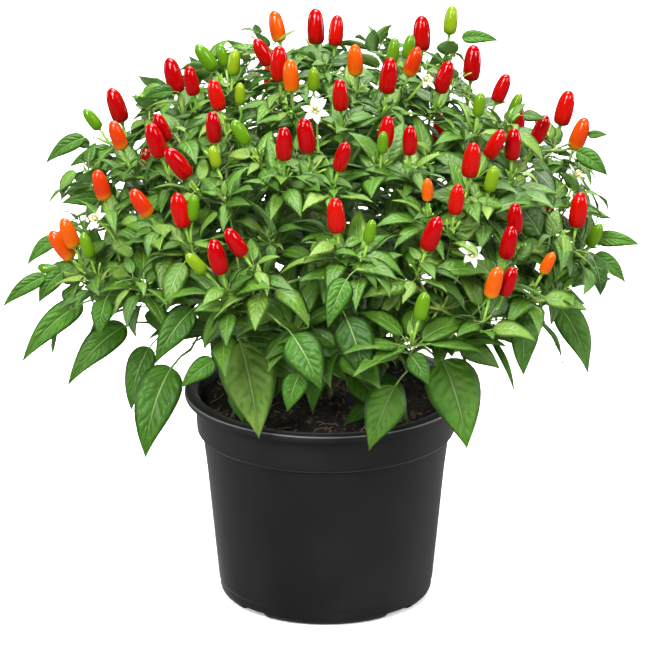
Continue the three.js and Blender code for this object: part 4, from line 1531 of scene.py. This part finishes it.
# each ripeness: the skin's colour, its blush, and its shade at the calyx
SKINS = {
    "red": ((130, 0, 3), (152, 8, 2), (104, 0, 3)),
    "orange": ((172, 68, 4), (156, 32, 4), (166, 108, 12)),
    "green": ((70, 108, 10), (108, 130, 16), (60, 96, 10)),
}


def make_fruit(fruit, tips, green):
    finishes = {ripe: fruit_finish(ripe + "_skin", *skin) for ripe, skin in SKINS.items()}
    calyces = collected("calyx", [calyx_mesh()])
    luck = Random(3)
    caps, stalks = [], []
    others = {ripe: [] for ripe in finishes}
    for index, (name, foot, axis, ripe, length, radius) in enumerate(fruit):
        turn = UP.rotation_difference(axis) @ Quaternion(UP, luck.uniform(0, TURN))
        tone = luck.random()
        if name:
            mesh = fruit_mesh("chilli" + name[5:], index, length, radius, 28, tone)
            mesh.transform(Matrix.Translation(foot) @ turn.to_matrix().to_4x4())
            solid(mesh, finishes[ripe], "fruit_" + ripe, name)
        else:
            others[ripe].append((foot, turn, length, index % len(FRUIT_KINDS), tone))
        caps.append((foot, turn, radius / FRUIT_R, 0, tone))
        neck = foot - axis * 2.6 * MM
        tip = min((spot for spot, _ in tips), key=lambda spot: (spot - foot + axis * STALK_LENGTH).length)
        line = smooth_line([tip, neck - axis * 9 * MM, neck], 5)
        stalks.append((line, [(0.75 + 0.35 * (i / (len(line) - 1)) ** 2) * MM for i in range(len(line))]))
    thin = FRUIT_R / FRUIT_LENGTH
    shapes = [fruit_mesh(f"fruit_kind_{i}", i, 1.0, thin, 16) for i in range(len(FRUIT_KINDS))]
    kinds = collected("fruit_kind", shapes)
    for ripe, plants in others.items():
        part(grown(f"more_{ripe}_chillies", plants, kinds, finishes[ripe]), "fruit_" + ripe)
    part(grown("fruit_calyces", caps, calyces, green), "leaf")
    part(stems("fruit_stalks", stalks, green, 8), "leaf")


def make_flowers(green):
    petals, heart = plain_finish("petal"), plain_finish("anther")
    luck = Random(9)
    stands = []
    for name in ("flower_01", "flower_02", "flower_03"):
        low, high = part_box(name)
        stands.append((name, (low + high) / 2 - UP * 4 * MM))
    stands += [(None, on_dome(x, up)) for x, up in ((93, 237), (165, 294))]
    for angle, z in ((0.9, 290), (1.9, 320), (2.6, 260), (1.4, 230)):
        stands.append((None, round_dome(angle, z * MM)))
    stalks = []
    for index, (name, spot) in enumerate(stands):
        axis = (outwards(spot) * 1.0 + UP * 0.75).normalized()
        turn = UP.rotation_difference(axis) @ Quaternion(UP, luck.uniform(0, 6))
        place = Matrix.Translation(spot) @ turn.to_matrix().to_4x4()
        number = f"{index + 1:02d}"
        star = petals_mesh("petals_" + number, 5 if index % 3 else 6, index)
        middle = flower_heart_mesh("flower_heart_" + number)
        star.transform(place)
        middle.transform(place)
        solid(star, petals, "petal", *([name] if name else []))
        solid(middle, heart, "petal")
        _, start = nearest_shoot(spot - axis * 20 * MM)
        line = smooth_line([start, spot - axis * 16 * MM - UP * 6 * MM, spot - axis * 0.5 * MM], 5)
        stalks.append((line, [0.8 * MM] * (len(line) - 1) + [1.3 * MM]))
    part(stems("flower_stalks", stalks, green), "leaf")


MIDDLE = Vector((0, 0, 0.22))  # of the plant, where all the lamps aim
# each lamp: its place, width, height and power
LAMPS = {
    "key": ((-0.6, -1.6, 1.8), 1.0, 0.9, 82), "strip": ((-0.9, -2.1, 1.2), 0.3, 1.0, 24),
    "fill": ((1.4, -1.2, 1.2), 0.8, 0.8, 26), "top": ((0.1, 0.1, 2.2), 1.2, 1.2, 98),
    "rim": ((0.5, 1.7, 1.5), 1.2, 1.2, 36),
    "left": ((-1.6, 0.5, 0.4), 0.4, 0.8, 12), "right": ((1.6, 0.5, 0.4), 0.4, 0.8, 12),
}


def make_stage():
    """The floor, the lamps, and a room that is white to the camera and dim in reflections."""
    mesh = bpy.data.meshes.new("white_floor")
    mesh.from_pydata([(-4, -4, 0), (4, -4, 0), (4, 4, 0), (-4, 4, 0)], [], [(0, 1, 2, 3)])
    floor = with_finish(shown("white_floor", mesh), floor_finish())
    world = bpy.data.worlds.new("white_room")
    world.use_nodes = True
    sky = world.node_tree.nodes["Background"]
    sky.inputs["Color"].default_value = (1, 1, 1, 1)
    glossy, camera = [light_path(world.node_tree, ray) for ray in ("Is Glossy Ray", "Is Camera Ray")]
    glossy.ramp(0.0, 1.0, 0.17, 0.045).math("MAXIMUM", camera).into(sky.inputs["Strength"])
    bpy.context.scene.world = world
    bpy.context.scene.view_settings.view_transform = "Standard"
    for name, (place, width, height, power) in LAMPS.items():
        lamp = bpy.data.lights.new(name, "AREA")
        lamp.shape, lamp.size, lamp.size_y, lamp.energy = "RECTANGLE", width, height, power
        made = bpy.data.objects.new(name, lamp)
        made.location = place
        made.rotation_euler = (MIDDLE - Vector(place)).to_track_quat("-Z", "Y").to_euler()
        bpy.context.scene.collection.objects.link(made)


CAMERA_LENS = 325.6  # mm
CAMERA_AWAY = 4  # m


def make_camera():
    camera = bpy.data.cameras.new("front_view")
    camera.sensor_width, camera.lens = 36, CAMERA_LENS
    made = bpy.data.objects.new("front_view", camera)
    target = Vector((-0.0023, 0, 0.1856))
    made.location = target + Vector((0, -math.cos(VIEW_RISE), math.sin(VIEW_RISE))) * CAMERA_AWAY
    made.rotation_euler = (math.pi / 2 - VIEW_RISE, 0, 0)
    bpy.context.scene.collection.objects.link(made)
    bpy.context.scene.camera = made


make_camera()
make_stage()
make_pot()
make_soil()
make_woody_stems()
FRUIT = all_fruit()
GREEN = plain_finish("fresh_stalk")
TIPS = make_foliage(FRUIT, GREEN)
make_fruit(FRUIT, TIPS, GREEN)
make_flowers(GREEN)
